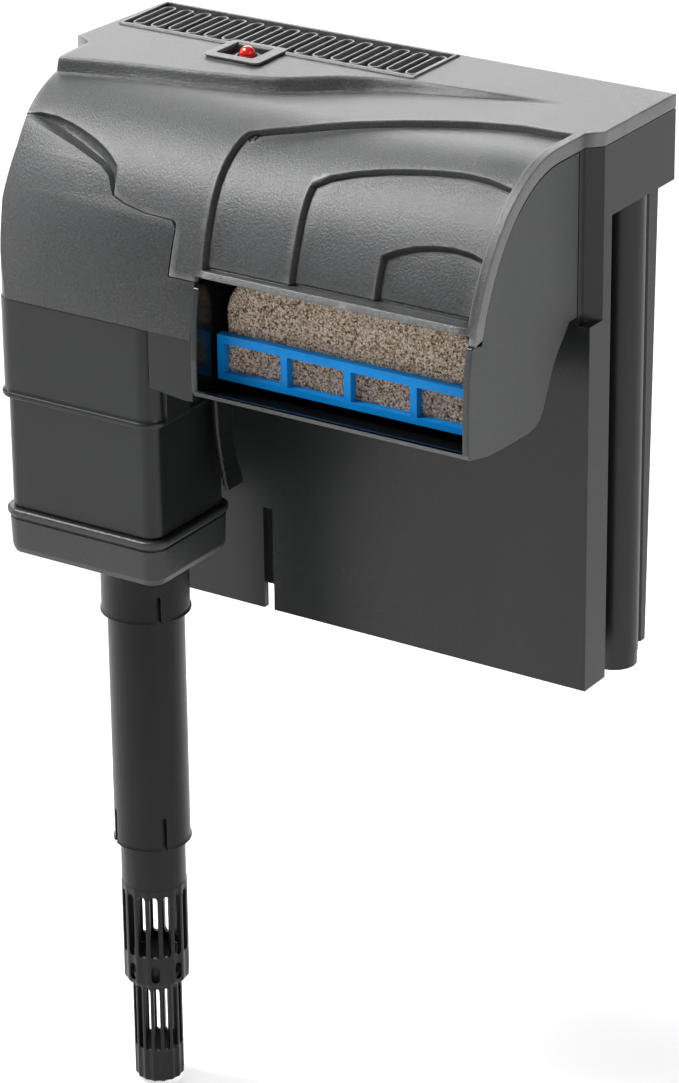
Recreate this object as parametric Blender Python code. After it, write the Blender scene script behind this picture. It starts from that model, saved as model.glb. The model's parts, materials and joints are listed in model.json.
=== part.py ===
"""Hang-on-back aquarium filter, in metres, +Z up, +Y away from the tank, +X to its right.

The origin lies on the seat that rests on the tank's rim. The chamber hangs outside the glass
(y > 0); the spillway and the submerged pump with its intake tube hang inside it (y < 0).
Dimensions below are in millimetres and turned into metres when a mesh is made.
"""
import math

import bmesh
import bpy
from mathutils import Matrix

MM = 0.001
GAP = 0.3                      # clearance between pieces that touch
WALL = 2.6                     # moulded wall thickness

# --- driving dimensions -------------------------------------------------------------------
TOP_Z = 67.0                   # top of the lid above the rim seat
LID_DEEP = 5.2                 # height of the lid's edge skirt
RIGHT_X, LEFT_X = 111.0, -111.0
LEFT_WIDE_X = -114.5           # the left edge widens a little towards the tank
REAR_Y = 63.0
STEP_Y = 12.2                  # where the wide rear part steps in to the hood
CHEEK_X = 106.1                # outer face of the right cheek
HOOD_Y, HOOD_Z = -10.6, -15.0  # centre of the hood's elliptical side profile
HOOD_A, HOOD_B = 60.0, 82.0    # its half axes
LIP_Z = 14.9                   # lower front edge of the hood
PANEL_Y = 3.1                  # front face of the apron that hangs outside the glass
PANEL_Z = -145.4               # lower edge of the apron
FLANGE_Z = 34.7                # lower edge of the flange under the lid
FRONT_Y = -70.0                # front plane of the pump side and the spillway
SILL_Z = -29.0                 # lower front edge of the spillway
BAY_X = -9.5                   # left wall of the spillway
SHELL_Z = -7.9                 # seam under the textured bay shell
SLEEVE_Z = -46.9               # lower edge of the smooth sleeve
PUMP_LEFT, PUMP_RIGHT, PUMP_REAR = -97.5, -27.5, -20.3
HOUSING_Z = -91.5              # seam between pump housing and base cap
CAP_Z = -110.3                 # underside of the base cap
TUBE_X, TUBE_Y = -49.0, -48.0  # axis of the intake tube, rotor and impeller
COLLAR_Z = -130.0
TUBE_R, TUBE_BORE = 14.5, 13.0
TUBE_Z = -226.0
STRAINER_R, STRAINER_BORE = 12.4, 10.7
STRAINER_Z = -286.0
TIP_R, TIP_BORE = 9.5, 7.9
TIP_Z = -329.5
SPLIT_TURN, SLOT_TURN = -37.0, -57.0  # angles of the tube's split slots and of the strainers' slots
RISER_X, RISER_Y = -76.0, -45.0
ROUND = 32                     # facets of a round piece
VENT_LEFT, VENT_RIGHT, VENT_FRONT, VENT_REAR = -104.0, 17.0, 32.5, 57.0
VENT_SLOTS = 16
GRID_LEFT, GRID_RIGHT, GRID_LOW, GRID_TOP = -5.5, 103.0, -25.0, -7.9
GRID_FRONT, GRID_BACK = -59.8, -50.5
LED_X, LED_Y = -46.5, 22.5

COLOURS = {
    "textured_black": ((0.045, 0.046, 0.047), 0.55, 0.0),
    "smooth_black": ((0.026, 0.028, 0.028), 0.38, 0.0),
    "rubber_black": ((0.012, 0.012, 0.012), 0.75, 0.0),
    "blue_plastic": ((0.0, 0.18, 0.62), 0.35, 0.0),
    "tan_pad": ((0.36, 0.27, 0.19), 0.95, 0.0),
    "white_floss": ((0.75, 0.77, 0.78), 0.95, 0.0),
    "red_lens": ((0.75, 0.01, 0.01), 0.12, 0.0),
    "green_board": ((0.02, 0.16, 0.06), 0.4, 0.0),
    "dark_iron": ((0.12, 0.11, 0.10), 0.5, 0.9),
    "magnet_grey": ((0.05, 0.05, 0.055), 0.45, 0.2),
    "ceramic_white": ((0.82, 0.81, 0.78), 0.25, 0.0),
}


# --- building blocks ----------------------------------------------------------------------
def clear_scene():
    for item in list(bpy.data.objects):
        bpy.data.objects.remove(item, do_unlink=True)


def material(name):
    found = bpy.data.materials.get(name)
    if found:
        return found
    colour, roughness, metallic = COLOURS[name]
    made = bpy.data.materials.new(name)
    made.use_nodes = True
    shader = made.node_tree.nodes["Principled BSDF"]
    shader.inputs["Base Color"].default_value = (*colour, 1.0)
    shader.inputs["Roughness"].default_value = roughness
    shader.inputs["Metallic"].default_value = metallic
    return made


def finish(name, mesh_data, material_name, origin=(0, 0, 0), smooth=True):
    """An object from a bmesh in millimetres, with its origin at a point given in millimetres."""
    bmesh.ops.recalc_face_normals(mesh_data, faces=mesh_data.faces)
    bmesh.ops.translate(mesh_data, verts=mesh_data.verts, vec=[-value for value in origin])
    bmesh.ops.scale(mesh_data, verts=mesh_data.verts, vec=(MM, MM, MM))
    mesh = bpy.data.meshes.new(name)
    mesh_data.to_mesh(mesh)
    mesh_data.free()
    if smooth:
        mesh.shade_smooth()
        mesh.set_sharp_from_angle(angle=math.radians(35))
    thing = bpy.data.objects.new(name, mesh)
    thing.location = [value * MM for value in origin]
    bpy.context.scene.collection.objects.link(thing)
    if material_name:
        mesh.materials.append(material(material_name))
    return thing


def helper(name, mesh_data):
    """A cutter: left out of the model."""
    thing = finish(name, mesh_data, None, smooth=False)
    thing.hide_render = True
    thing.display_type = "WIRE"
    return thing


def combine(thing, operation, *meshes):
    """Booleans on an object, one for each bmesh."""
    for mesh_data in meshes:
        number = len(thing.modifiers)
        tool = helper(f"{thing.name}_tool_{number}", mesh_data)
        modifier = thing.modifiers.new(f"{operation.lower()}_{number}", "BOOLEAN")
        modifier.operation = operation
        modifier.solver = "EXACT"
        modifier.object = tool
    return thing


def cut(thing, *meshes):
    return combine(thing, "DIFFERENCE", *meshes)


def join(thing, *meshes):
    return combine(thing, "UNION", *meshes)


def prism(outline, along, low, high):
    """A closed outline pushed along X (outline in y, z), Y (x, z) or Z (x, y)."""
    turn = {
        "X": lambda a, b, depth: (depth, a, b),
        "Y": lambda a, b, depth: (a, depth, b),
        "Z": lambda a, b, depth: (a, b, depth),
    }[along]
    made = bmesh.new()
    ends = [[made.verts.new(turn(a, b, depth)) for a, b in outline] for depth in (low, high)]
    for end in ends:
        made.faces.new(end)
    count = len(outline)
    for i in range(count):
        after = (i + 1) % count
        made.faces.new((ends[0][i], ends[0][after], ends[1][after], ends[1][i]))
    return made


def block(low, high):
    (x0, y0, z0), (x1, y1, z1) = low, high
    return prism([(x0, y0), (x1, y0), (x1, y1), (x0, y1)], "Z", z0, z1)


def rounded(x0, y0, x1, y1, radius, steps=4):
    """A rectangle with round corners, counter-clockwise."""
    corners = ((x1, y0, -90), (x1, y1, 0), (x0, y1, 90), (x0, y0, 180))
    points = []
    for x, y, start in corners:
        centre_x = x - math.copysign(radius, x - (x0 + x1) / 2)
        centre_y = y - math.copysign(radius, y - (y0 + y1) / 2)
        for step in range(steps + 1):
            angle = math.radians(start + 90 * step / steps)
            points.append((centre_x + radius * math.cos(angle), centre_y + radius * math.sin(angle)))
    return points


def turned(profile, x=0.0, y=0.0, steps=ROUND):
    """A closed profile of (radius, z) turned about a vertical axis. Radius 0 closes an end."""
    made = bmesh.new()
    rings = []
    for radius, z in profile:
        if radius == 0:
            rings.append([made.verts.new((x, y, z))])
            continue
        angles = (2 * math.pi * step / steps for step in range(steps))
        rings.append([
            made.verts.new((x + radius * math.cos(a), y + radius * math.sin(a), z)) for a in angles
        ])
    closed = all(len(ring) > 1 for ring in rings)
    pairs = list(zip(rings, rings[1:] + rings[:1])) if closed else list(zip(rings, rings[1:]))
    for first, second in pairs:
        for i in range(steps):
            after = (i + 1) % steps
            corners = [first[i % len(first)], first[after % len(first)]]
            corners += [second[after % len(second)], second[i % len(second)]]
            unique = list(dict.fromkeys(corners))
            made.faces.new(unique)
    return made


def pipe(outer, bore, low, high, x, y, steps=ROUND):
    return turned([(outer, low), (outer, high), (bore, high), (bore, low)], x, y, steps)


def swept_pipe(path, outer, bore, steps=16):
    """A pipe along a path that lies in a plane of constant x."""
    made = bmesh.new()
    skins = []
    for radius in (outer, bore):
        rings = []
        for number, (x, y, z) in enumerate(path):
            before = path[max(number - 1, 0)]
            after = path[min(number + 1, len(path) - 1)]
            angle = math.atan2(after[2] - before[2], after[1] - before[1])
            ring = []
            for step in range(steps):
                turn = 2 * math.pi * step / steps
                side, up = radius * math.cos(turn), radius * math.sin(turn)
                ring.append(made.verts.new((x + side, y - up * math.sin(angle), z + up * math.cos(angle))))
            rings.append(ring)
        skins.append(rings)
    for rings in skins:
        for first, second in zip(rings, rings[1:]):
            for i in range(steps):
                after = (i + 1) % steps
                made.faces.new((first[i], first[after], second[after], second[i]))
    for end in (0, -1):
        for i in range(steps):
            after = (i + 1) % steps
            made.faces.new((skins[0][end][i], skins[0][end][after], skins[1][end][after], skins[1][end][i]))
    return made


def slot_cutters(x, y, count, reach, width, low, high, first=0.0):
    """Bars through a pipe's axis, the first at an angle in degrees. Each cuts two slots opposite each other."""
    bars = []
    for number in range(count):
        bar = block((-reach, -width / 2, low), (reach, width / 2, high))
        angle = math.radians(first + 180.0 * number / count)
        bmesh.ops.rotate(bar, verts=bar.verts, matrix=Matrix.Rotation(angle, 3, "Z"))
        bmesh.ops.translate(bar, verts=bar.verts, vec=(x, y, 0))
        bars.append(bar)
    return bars


# --- shared outlines ----------------------------------------------------------------------
def hood_curve(inward, steps=20):
    """The hood's side profile (y, z) from its flat top to its lower front lip, moved inwards."""
    last = math.asin((LIP_Z - HOOD_Z) / HOOD_B)
    points = []
    for step in range(steps + 1):
        angle = math.pi / 2 + (last - math.pi / 2) * step / steps
        slope_y, slope_z = math.cos(angle) / HOOD_A, math.sin(angle) / HOOD_B
        length = math.hypot(slope_y, slope_z)
        y = HOOD_Y - HOOD_A * math.cos(angle) + inward * slope_y / length
        z = HOOD_Z + HOOD_B * math.sin(angle) - inward * slope_z / length
        points.append((y, z))
    return points


def lid_plan(inset=0.0):
    """The lid seen from above (x, y)."""
    return [
        (LEFT_X + inset, REAR_Y - inset),
        (RIGHT_X - inset, REAR_Y - inset),
        (RIGHT_X - inset, STEP_Y + inset / 2),
        (CHEEK_X - inset, 7.0),
        (CHEEK_X - inset, -75.0),
        (-83.0 + inset, -75.0),
        (-84.5 + inset, -66.0 + inset),
        (-90.5 + inset, -58.5),
        (-95.0 + inset, -50.0),
        (-99.5 + inset, -39.0),
        (-104.4 + inset, -15.3),
        (-106.0 + inset, 4.6),
        (LEFT_WIDE_X + inset, 9.8 + inset),
    ]


def bay_edge(drop=0.0):
    """The edge (x, z) where the lid is cut back over the intake bay, from the left to the spillway."""
    points = [
        (-130.0, 60.3),
        (-101.0, 53.9),
        (-90.0, 51.5),
        (-72.8, 47.6),
        (-59.2, 43.7),
        (-54.5, 41.0),
        (-50.6, 35.4),
        (-45.0, 33.6),
        (-35.5, 32.0),
        (-23.4, 31.5),
        (-21.4, 29.5),
        (-21.0, 13.0),
    ]
    return [(x - drop, z - drop) for x, z in points]


def trough_outline(lift=0.0):
    """Underside of the spillway (y, z), from the rim seat down to the front lip, moved inwards."""
    points = [
        (PANEL_Y - GAP, 0.0),
        (-2.7, 0.0),
        (-5.4, -3.2),
        (-9.7, -7.7),
        (-13.5, -12.8),
        (-15.9, -17.9),
        (-18.2, -22.9),
        (-20.1, -27.0),
        (-22.4, -30.0),
        (-25.8, -32.0),
        (-30.6, -32.7),
        (-44.9, -32.4),
        (-57.2, -31.8),
        (-61.8, -30.8),
        (-69.5, SILL_Z - 0.2),
    ]
    moved = []
    for number, (y, z) in enumerate(points):
        before, after = points[max(number - 1, 0)], points[min(number + 1, len(points) - 1)]
        along_y, along_z = after[0] - before[0], after[1] - before[1]
        length = math.hypot(along_y, along_z)
        moved.append((y + lift * along_z / length, z - lift * along_y / length))
    return moved


# --- main mouldings -----------------------------------------------------------------------
def make_filter_body():
    """The box that hangs outside the glass: flat apron in front, media chamber behind, column at its right."""
    column = [
        (101.0 + 9.0 * math.cos(math.radians(a)), 42.5 + 9.0 * math.sin(math.radians(a)))
        for a in range(-150, 61, 21)
    ]
    plan = [(LEFT_WIDE_X + 3.5, PANEL_Y), (RIGHT_X, PANEL_Y), (RIGHT_X, 17.8), (99.0, 19.5)]
    plan += [(97.5, 22.0), (97.5, 34.0)] + column[1:]
    plan += [(107.0, 52.0), (107.0, 59.0), (-107.0, 59.0), (-107.0, 22.0), (-111.0, 19.5)]
    outer = prism(plan, "Z", PANEL_Z, TOP_Z - LID_DEEP - GAP)
    for vert in outer.verts:
        if vert.co.z < -100 and vert.co.y > 53:
            vert.co.y -= 4.0
    body = finish("filter_body", outer, "smooth_black")
    rim_top = TOP_Z - LID_DEEP - GAP
    flange = [
        (LEFT_X, REAR_Y), (RIGHT_X, REAR_Y), (RIGHT_X, STEP_Y), (RIGHT_X, 5.0), (90.0, 5.0),
        (90.0, 40.0), (-90.0, 40.0), (-90.0, 5.0), (LEFT_WIDE_X, 9.8),
    ]
    join(body, prism(flange, "Z", FLANGE_Z, rim_top))
    join(body, prism([(x - 0.3, y) for x, y in column], "Z", PANEL_Z - 5.6, PANEL_Z + 20))
    # The media chamber, and then the notches for the lid's chamfer, the spillway, the riser and the glass.
    cavity = [(-104.0, 8.5), (94.5, 8.5), (94.5, 44.0), (101.0, 50.0), (101.0, 52.2), (-104.0, 52.2)]
    cut(body, prism(cavity, "Z", -131.5, TOP_Z))
    chamfer = [(CHEEK_X, 1.0), (CHEEK_X, 7.0), (RIGHT_X, STEP_Y), (RIGHT_X + 4, STEP_Y), (RIGHT_X + 4, 1.0)]
    cut(body, prism(chamfer, "Z", -3.0, TOP_Z))
    cut(body, block((-111.5 - 6, 1.0, -3.0), (-106.0, 9.0, TOP_Z)))
    cut(body, block((BAY_X + 3.0, 1.0, WALL), (CHEEK_X - WALL - 0.2, 9.5, TOP_Z)))
    cut(body, block((RISER_X - 15, 1.0, 20.0), (RISER_X + 15, 9.5, 50.0)))
    cut(body, block((-30.0, 1.0, PANEL_Z - 3), (-25.6, 5.8, -103.7)))
    cut(body, block((-112.0, 5.8, PANEL_Z - 3), (-18.0, 60.0, -136.0)))
    return body


def make_spillway_trough():
    """The open channel that carries clean water over the rim, with its outer cheeks."""
    parting = [(y, z - GAP) for y, z in hood_curve(LID_DEEP)]
    front = [(FRONT_Y - 0.9, SILL_Z + 2), (FRONT_Y - 0.9, HOOD_Z)]
    front += [(FRONT_Y - 0.4, 0.0), (-68.5, LIP_Z - 3.5)]
    outline = trough_outline() + front
    outline += list(reversed(parting)) + [(PANEL_Y - GAP, TOP_Z - LID_DEEP - GAP)]
    trough = finish("spillway_trough", prism(outline, "X", BAY_X, CHEEK_X), "textured_black")
    floor = trough_outline(WALL)
    floor[0] = (PANEL_Y + 3.0, WALL)
    pocket = floor + [(-75.0, SILL_Z + WALL), (-75.0, TOP_Z), (PANEL_Y + 3.0, TOP_Z)]
    cut(trough, prism(pocket, "X", BAY_X + WALL, CHEEK_X - WALL))
    return trough


def make_bay_shell():
    """The textured cover between the lid and the pump's sleeve, hollow from below."""
    rear = PANEL_Y - GAP
    foot = [(rear, 0.0), (PUMP_REAR, 0.0), (PUMP_REAR, SHELL_Z), (HOOD_Y - HOOD_A, SHELL_Z)]
    side = foot + list(reversed(hood_curve(0.0))) + [(rear, TOP_Z)]
    under_lid = foot + [(FRONT_Y + 8.0, LIP_Z)] + list(reversed(hood_curve(LID_DEEP + GAP)))
    under_lid += [(rear, TOP_Z - LID_DEEP - GAP)]
    plan = [(BAY_X - GAP, rear + 2), (-106.0, rear + 2), (-104.4, -15.3), (-99.5, -39.0)]
    plan += [(PUMP_LEFT, -52.0), (PUMP_LEFT, -62.0), (-95.2, -67.5), (-90.0, -72.0), (BAY_X - GAP, -72.0)]
    shell = finish("intake_bay_shell", prism(side, "X", -112.0, BAY_X + 2), "textured_black")
    front = [(-130.0, SHELL_Z - 5)] + bay_edge(GAP)
    front += [(BAY_X + 5, 13.0 - GAP), (BAY_X + 5, SHELL_Z - 5)]
    combine(shell, "INTERSECT", prism(front, "Y", -90.0, 20.0))
    join(shell, prism(under_lid, "X", -112.0, BAY_X + 2))
    combine(shell, "INTERSECT", prism(plan, "Z", SHELL_Z - 3, TOP_Z + 3))
    hollow_rear = PUMP_REAR - WALL
    cut(shell, block((-93.5, -65.0, SHELL_Z - 4), (-12.5, hollow_rear, 9.0)))
    cut(shell, block((-92.0, -58.0, -2.0), (-54.0, hollow_rear, 28.0)))
    cut(shell, block((-56.0, -53.0, -2.0), (-24.0, hollow_rear, 25.0)))
    cut(shell, block((-91.0, -52.0, 8.0), (-62.0, hollow_rear, 38.5)))
    cut(shell, block((-90.0, -42.0, WALL), (-60.0, PANEL_Y + 5, 45.0)))
    return shell


def make_pump_sleeve():
    """The smooth collar under the bay shell that the pump housing plugs into."""
    sleeve = finish(
        "pump_bay_sleeve",
        prism(rounded(PUMP_LEFT, FRONT_Y, PUMP_RIGHT, PUMP_REAR, 7.0), "Z", SLEEVE_Z, SHELL_Z - GAP),
        "smooth_black",
    )
    lip = rounded(PUMP_LEFT - 0.9, FRONT_Y - 0.9, PUMP_RIGHT + 0.9, PUMP_REAR + 0.9, 7.9)
    join(sleeve, prism(lip, "Z", SLEEVE_Z - 0.01, SLEEVE_Z + 2.2))
    bracket = [(PUMP_RIGHT - 8, SHELL_Z - GAP), (BAY_X - GAP, SHELL_Z - GAP)]
    bracket += [(BAY_X - GAP, -31.5), (PUMP_RIGHT - 8, -29.0)]
    join(sleeve, prism(bracket, "Y", FRONT_Y + 0.2, FRONT_Y + 22.0))
    for low_y in (-37.8, -23.7):
        join(sleeve, block((PUMP_RIGHT - 1.5, low_y, -46.0), (PUMP_RIGHT + 5.0, low_y + 1.5, -36.0)))
    inner = rounded(PUMP_LEFT + WALL, FRONT_Y + WALL, PUMP_RIGHT - WALL, PUMP_REAR - WALL, 4.5)
    cut(sleeve, prism(inner, "Z", SLEEVE_Z - 4, SHELL_Z + 4))
    return sleeve


# --- lid and indicator --------------------------------------------------------------------
def make_lid():
    outer = [(REAR_Y, TOP_Z)] + hood_curve(0.0)
    under = [(REAR_Y, TOP_Z - LID_DEEP)] + hood_curve(LID_DEEP)
    lid = finish(
        "lid",
        prism(outer + list(reversed(under)), "X", -120.0, 120.0),
        "textured_black",
        origin=(0.0, 0.0, TOP_Z),
    )
    combine(lid, "INTERSECT", prism(lid_plan(), "Z", -20.0, 90.0))
    roof = [(REAR_Y + 5, TOP_Z - WALL)] + hood_curve(WALL)
    below = [(-60.0, -25.0), (REAR_Y + 5, -25.0)]
    pocket = finish("lid_pocket", prism(roof + below, "X", -118.0, 118.0), None)
    pocket.hide_render = True
    pocket.display_type = "WIRE"
    combine(pocket, "INTERSECT", prism(lid_plan(WALL), "Z", -40.0, 90.0))
    modifier = lid.modifiers.new("pocket", "BOOLEAN")
    modifier.operation = "DIFFERENCE"
    modifier.solver = "EXACT"
    modifier.object = pocket
    low = [(-21.0, -30.0), (-130.0, -30.0)]
    cut(lid, prism(low + bay_edge(), "Y", -95.0, 0.0))
    pitch = (VENT_RIGHT - VENT_LEFT) / (VENT_SLOTS - 1)
    for number in range(VENT_SLOTS):
        middle = VENT_LEFT + number * pitch
        opening = rounded(middle - 1.9, VENT_FRONT, middle + 1.9, VENT_REAR, 1.89, steps=2)
        cut(lid, prism(opening, "Z", TOP_Z - 9, TOP_Z + 4))
    cut(lid, block((LED_X - 10.6, LED_Y - 9.0, TOP_Z - 9), (LED_X + 9.1, LED_Y + 8.7, TOP_Z + 4)))
    return lid


def make_led():
    low_x, high_x, low_y, high_y = LED_X - 10.2, LED_X + 8.7, LED_Y - 8.6, LED_Y + 8.3
    bezel = finish(
        "led_bezel",
        block((low_x, low_y, TOP_Z - 3.2), (high_x, high_y, TOP_Z + 0.8)),
        "textured_black",
        origin=(LED_X, LED_Y, TOP_Z),
    )
    join(bezel, block((low_x - 1.6, low_y - 1.6, TOP_Z + GAP), (high_x + 1.6, high_y + 1.6, TOP_Z + 1.2)))
    cut(bezel, block((low_x + 1.4, low_y + 1.4, TOP_Z - 1.4), (high_x - 1.4, high_y - 1.4, TOP_Z + 4)))
    cut(bezel, pipe_core(3.7, TOP_Z - 6, TOP_Z + 2, LED_X, LED_Y))
    dome = [(0.0, TOP_Z - 6.0), (3.2, TOP_Z - 6.0), (3.2, TOP_Z + 0.6)]
    dome += [
        (3.2 * math.cos(math.radians(a)), TOP_Z + 0.6 + 2.6 * math.sin(math.radians(a)))
        for a in (25, 50, 72)
    ]
    dome += [(0.0, TOP_Z + 3.2)]
    finish("led_lens", turned(dome, LED_X, LED_Y, 20), "red_lens", origin=(LED_X, LED_Y, TOP_Z))
    board = block((LED_X - 9.0, LED_Y - 6.5, TOP_Z - 8.0), (LED_X + 9.0, LED_Y + 6.5, TOP_Z - 6.4))
    finish("led_board", board, "green_board", origin=(LED_X, LED_Y, TOP_Z), smooth=False)


def pipe_core(radius, low, high, x, y, steps=20):
    return turned([(0.0, low), (radius, low), (radius, high), (0.0, high)], x, y, steps)


# --- filter media -------------------------------------------------------------------------
def make_cartridge():
    x0, x1, z0, z1 = -3.0, 92.0, -129.0, 34.0
    frame = finish(
        "cartridge_frame",
        block((x0, 19.0, z0), (x1, 23.0, z1)),
        "blue_plastic",
        origin=(0.5 * (x0 + x1), 21.0, z1),
        smooth=False,
    )
    for low, high in ((z0 + 4, -76.0), (-72.0, -22.0), (-18.0, z1 - 6)):
        cut(frame, block((x0 + 4, 15.0, low), (x1 - 4, 27.0, high)))
    floss = block((x0 + 1.5, 23.0 + GAP, z0 + 1.5), (x1 - 1.5, 33.0, z1 - 3))
    finish("cartridge_floss", floss, "white_floss", origin=(0.5 * (x0 + x1), 28.0, z1))


def make_diffuser():
    grid = finish(
        "diffuser_grid",
        block((GRID_LEFT, GRID_FRONT, GRID_LOW), (GRID_RIGHT, GRID_BACK, GRID_TOP)),
        "blue_plastic",
        origin=(0.5 * (GRID_LEFT + GRID_RIGHT), GRID_FRONT, GRID_TOP),
        smooth=False,
    )
    cells, bar = 4, 2.6
    pitch = (GRID_RIGHT - GRID_LEFT - bar) / cells
    for number in range(cells):
        left = GRID_LEFT + bar + number * pitch
        right = left + pitch - bar
        cut(grid, block((left, GRID_FRONT - 5, GRID_LOW + bar), (right, GRID_BACK + 5, GRID_TOP - bar)))
    profile = rounded(GRID_LEFT + 0.5, -9.5, GRID_RIGHT - 0.5, 13.0, 8.0)
    low_part = [(x, z) for x, z in profile if z > 0]
    low_part += [(GRID_LEFT + 0.5, GRID_LOW + 1.0), (GRID_RIGHT - 0.5, GRID_LOW + 1.0)]
    pad = finish(
        "coarse_pad",
        prism(low_part, "Y", GRID_BACK + GAP, -26.0),
        "tan_pad",
        origin=(0.5 * (GRID_LEFT + GRID_RIGHT), GRID_FRONT, GRID_TOP),
    )
    return grid, pad


# --- pump unit ----------------------------------------------------------------------------
def make_pump_housing():
    outer = rounded(PUMP_LEFT + 1.5, FRONT_Y + 1.5, PUMP_RIGHT - 1.5, PUMP_REAR - 1.5, 6.0)
    top = SLEEVE_Z - GAP
    housing = finish(
        "pump_housing",
        prism(outer, "Z", HOUSING_Z + GAP, top),
        "smooth_black",
        origin=(TUBE_X, TUBE_Y, top),
    )
    join(housing, pipe_core(7.0, top - 1.5, SLEEVE_Z + 22.0, RISER_X, RISER_Y))
    inner = rounded(PUMP_LEFT + 3.9, FRONT_Y + 3.9, PUMP_RIGHT - 3.9, PUMP_REAR - 3.9, 4.0)
    cut(housing, prism(inner, "Z", HOUSING_Z - 4, top - 2.4))
    cut(housing, pipe_core(5.4, top - 6, SLEEVE_Z + 26.0, RISER_X, RISER_Y))
    return housing


def make_base_cap():
    """The screwless cap under the pump, with the split collar that grips the intake tube."""
    wide = rounded(PUMP_LEFT - 1.0, FRONT_Y - 1.0, PUMP_RIGHT + 1.0, PUMP_REAR + 1.0, 8.0)
    cap = finish(
        "pump_base_cap",
        prism(wide, "Z", HOUSING_Z - 3.4, HOUSING_Z),
        "smooth_black",
        origin=(TUBE_X, TUBE_Y, CAP_Z),
    )
    skirt = prism(rounded(PUMP_LEFT, FRONT_Y, PUMP_RIGHT, PUMP_REAR, 7.0), "Z", CAP_Z, HOUSING_Z - 1)
    for vert in skirt.verts:
        if vert.co.z < CAP_Z + 1:
            vert.co.x += -0.8 if vert.co.x > (PUMP_LEFT + PUMP_RIGHT) / 2 else 0.8
            vert.co.y += -0.8 if vert.co.y > (FRONT_Y + PUMP_REAR) / 2 else 0.8
    join(cap, skirt)
    join(cap, pipe_core(16.6, COLLAR_Z, CAP_Z + 2, TUBE_X, TUBE_Y, ROUND))
    inner = rounded(PUMP_LEFT + 2.4, FRONT_Y + 2.4, PUMP_RIGHT - 2.4, PUMP_REAR - 2.4, 5.0)
    cut(cap, prism(inner, "Z", CAP_Z + WALL, HOUSING_Z + 3))
    cut(cap, pipe_core(TUBE_R + 0.3, COLLAR_Z - 3, CAP_Z - 1.0, TUBE_X, TUBE_Y, ROUND))
    cut(cap, pipe_core(11.0, CAP_Z - 4, CAP_Z + 5, TUBE_X, TUBE_Y, ROUND))
    slit = block((-1.0, -20.0, COLLAR_Z - 2), (1.0, -10.0, COLLAR_Z + 11.0))
    bmesh.ops.rotate(slit, verts=slit.verts, matrix=Matrix.Rotation(math.radians(52), 3, "Z"))
    bmesh.ops.translate(slit, verts=slit.verts, vec=(TUBE_X, TUBE_Y, 0))
    cut(cap, slit)
    return cap


def make_gasket():
    outer = rounded(PUMP_LEFT + 2.8, FRONT_Y + 2.8, PUMP_RIGHT - 2.8, PUMP_REAR - 2.8, 5.0)
    inner = rounded(PUMP_LEFT + 5.4, FRONT_Y + 5.4, PUMP_RIGHT - 5.4, PUMP_REAR - 5.4, 3.0)
    gasket = finish(
        "base_gasket",
        prism(outer, "Z", HOUSING_Z - 1.6, HOUSING_Z - 0.1),
        "rubber_black",
        origin=(TUBE_X, TUBE_Y, HOUSING_Z),
    )
    cut(gasket, prism(inner, "Z", HOUSING_Z - 5, HOUSING_Z + 5))
    return gasket


def make_motor():
    centre = (TUBE_X, TUBE_Y, -66.0)
    stator = finish(
        "motor_stator",
        block((TUBE_X - 17, TUBE_Y - 15, -80.0), (TUBE_X + 15, TUBE_Y + 17, -52.0)),
        "dark_iron",
        origin=centre,
        smooth=False,
    )
    cut(stator, pipe_core(10.0, -78.0 - 6, -54.0, TUBE_X, TUBE_Y, 24))
    for low in (-76.0, -62.0):
        coil = block((TUBE_X - 27, TUBE_Y - 11, low), (TUBE_X - 16.5, TUBE_Y + 11, low + 9))
        join(stator, coil)
    magnet = pipe(9.2, 1.5, -79.5, -56.8, TUBE_X, TUBE_Y, 24)
    finish("rotor_magnet", magnet, "magnet_grey", origin=centre)
    shaft = pipe_core(1.2, -98.0, -55.4, TUBE_X, TUBE_Y, 12)
    finish("impeller_shaft", shaft, "ceramic_white", origin=centre)
    upper = pipe(3.2, 1.45, -56.4, -54.3, TUBE_X, TUBE_Y, 16)
    finish("upper_bushing", upper, "rubber_black", origin=centre)
    lower = pipe(3.2, 1.45, -98.2, -95.2, TUBE_X, TUBE_Y, 16)
    finish("lower_bushing", lower, "rubber_black", origin=centre)


def make_impeller():
    impeller = finish(
        "impeller",
        pipe(8.8, 1.5, -83.0, -79.5 - GAP, TUBE_X, TUBE_Y, 24),
        "smooth_black",
        origin=(TUBE_X, TUBE_Y, -87.0),
    )
    join(impeller, pipe(3.6, 1.5, -94.6, -82.0, TUBE_X, TUBE_Y, 24))
    for number in range(6):
        blade = block((3.0, -0.8, -93.5), (12.6, 0.8, -82.5))
        bmesh.ops.rotate(blade, verts=blade.verts, matrix=Matrix.Rotation(math.pi * number / 3, 3, "Z"))
        bmesh.ops.translate(blade, verts=blade.verts, vec=(TUBE_X, TUBE_Y, 0))
        join(impeller, blade)
    return impeller


def make_volute():
    volute = finish(
        "impeller_cover",
        turned(
            [(14.9, -81.5), (14.9, -97.0), (6.0, -97.0), (6.0, -95.4), (13.4, -95.4), (13.4, -81.5)],
            TUBE_X, TUBE_Y, 24,
        ),
        "smooth_black",
        origin=(TUBE_X, TUBE_Y, -97.0),
    )
    cut(volute, block((TUBE_X - 20, TUBE_Y - 5, -94.0), (TUBE_X - 8, TUBE_Y + 5, -80.0)))
    spider = block((TUBE_X - 7, TUBE_Y - 1.2, -100.0), (TUBE_X + 7, TUBE_Y + 1.2, -98.5))
    post = block((TUBE_X - 7, TUBE_Y - 1.2, -99.0), (TUBE_X - 5.4, TUBE_Y + 1.2, -96.0))
    other = block((TUBE_X + 5.4, TUBE_Y - 1.2, -99.0), (TUBE_X + 7, TUBE_Y + 1.2, -96.0))
    join(volute, spider, post, other)
    return volute


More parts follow.
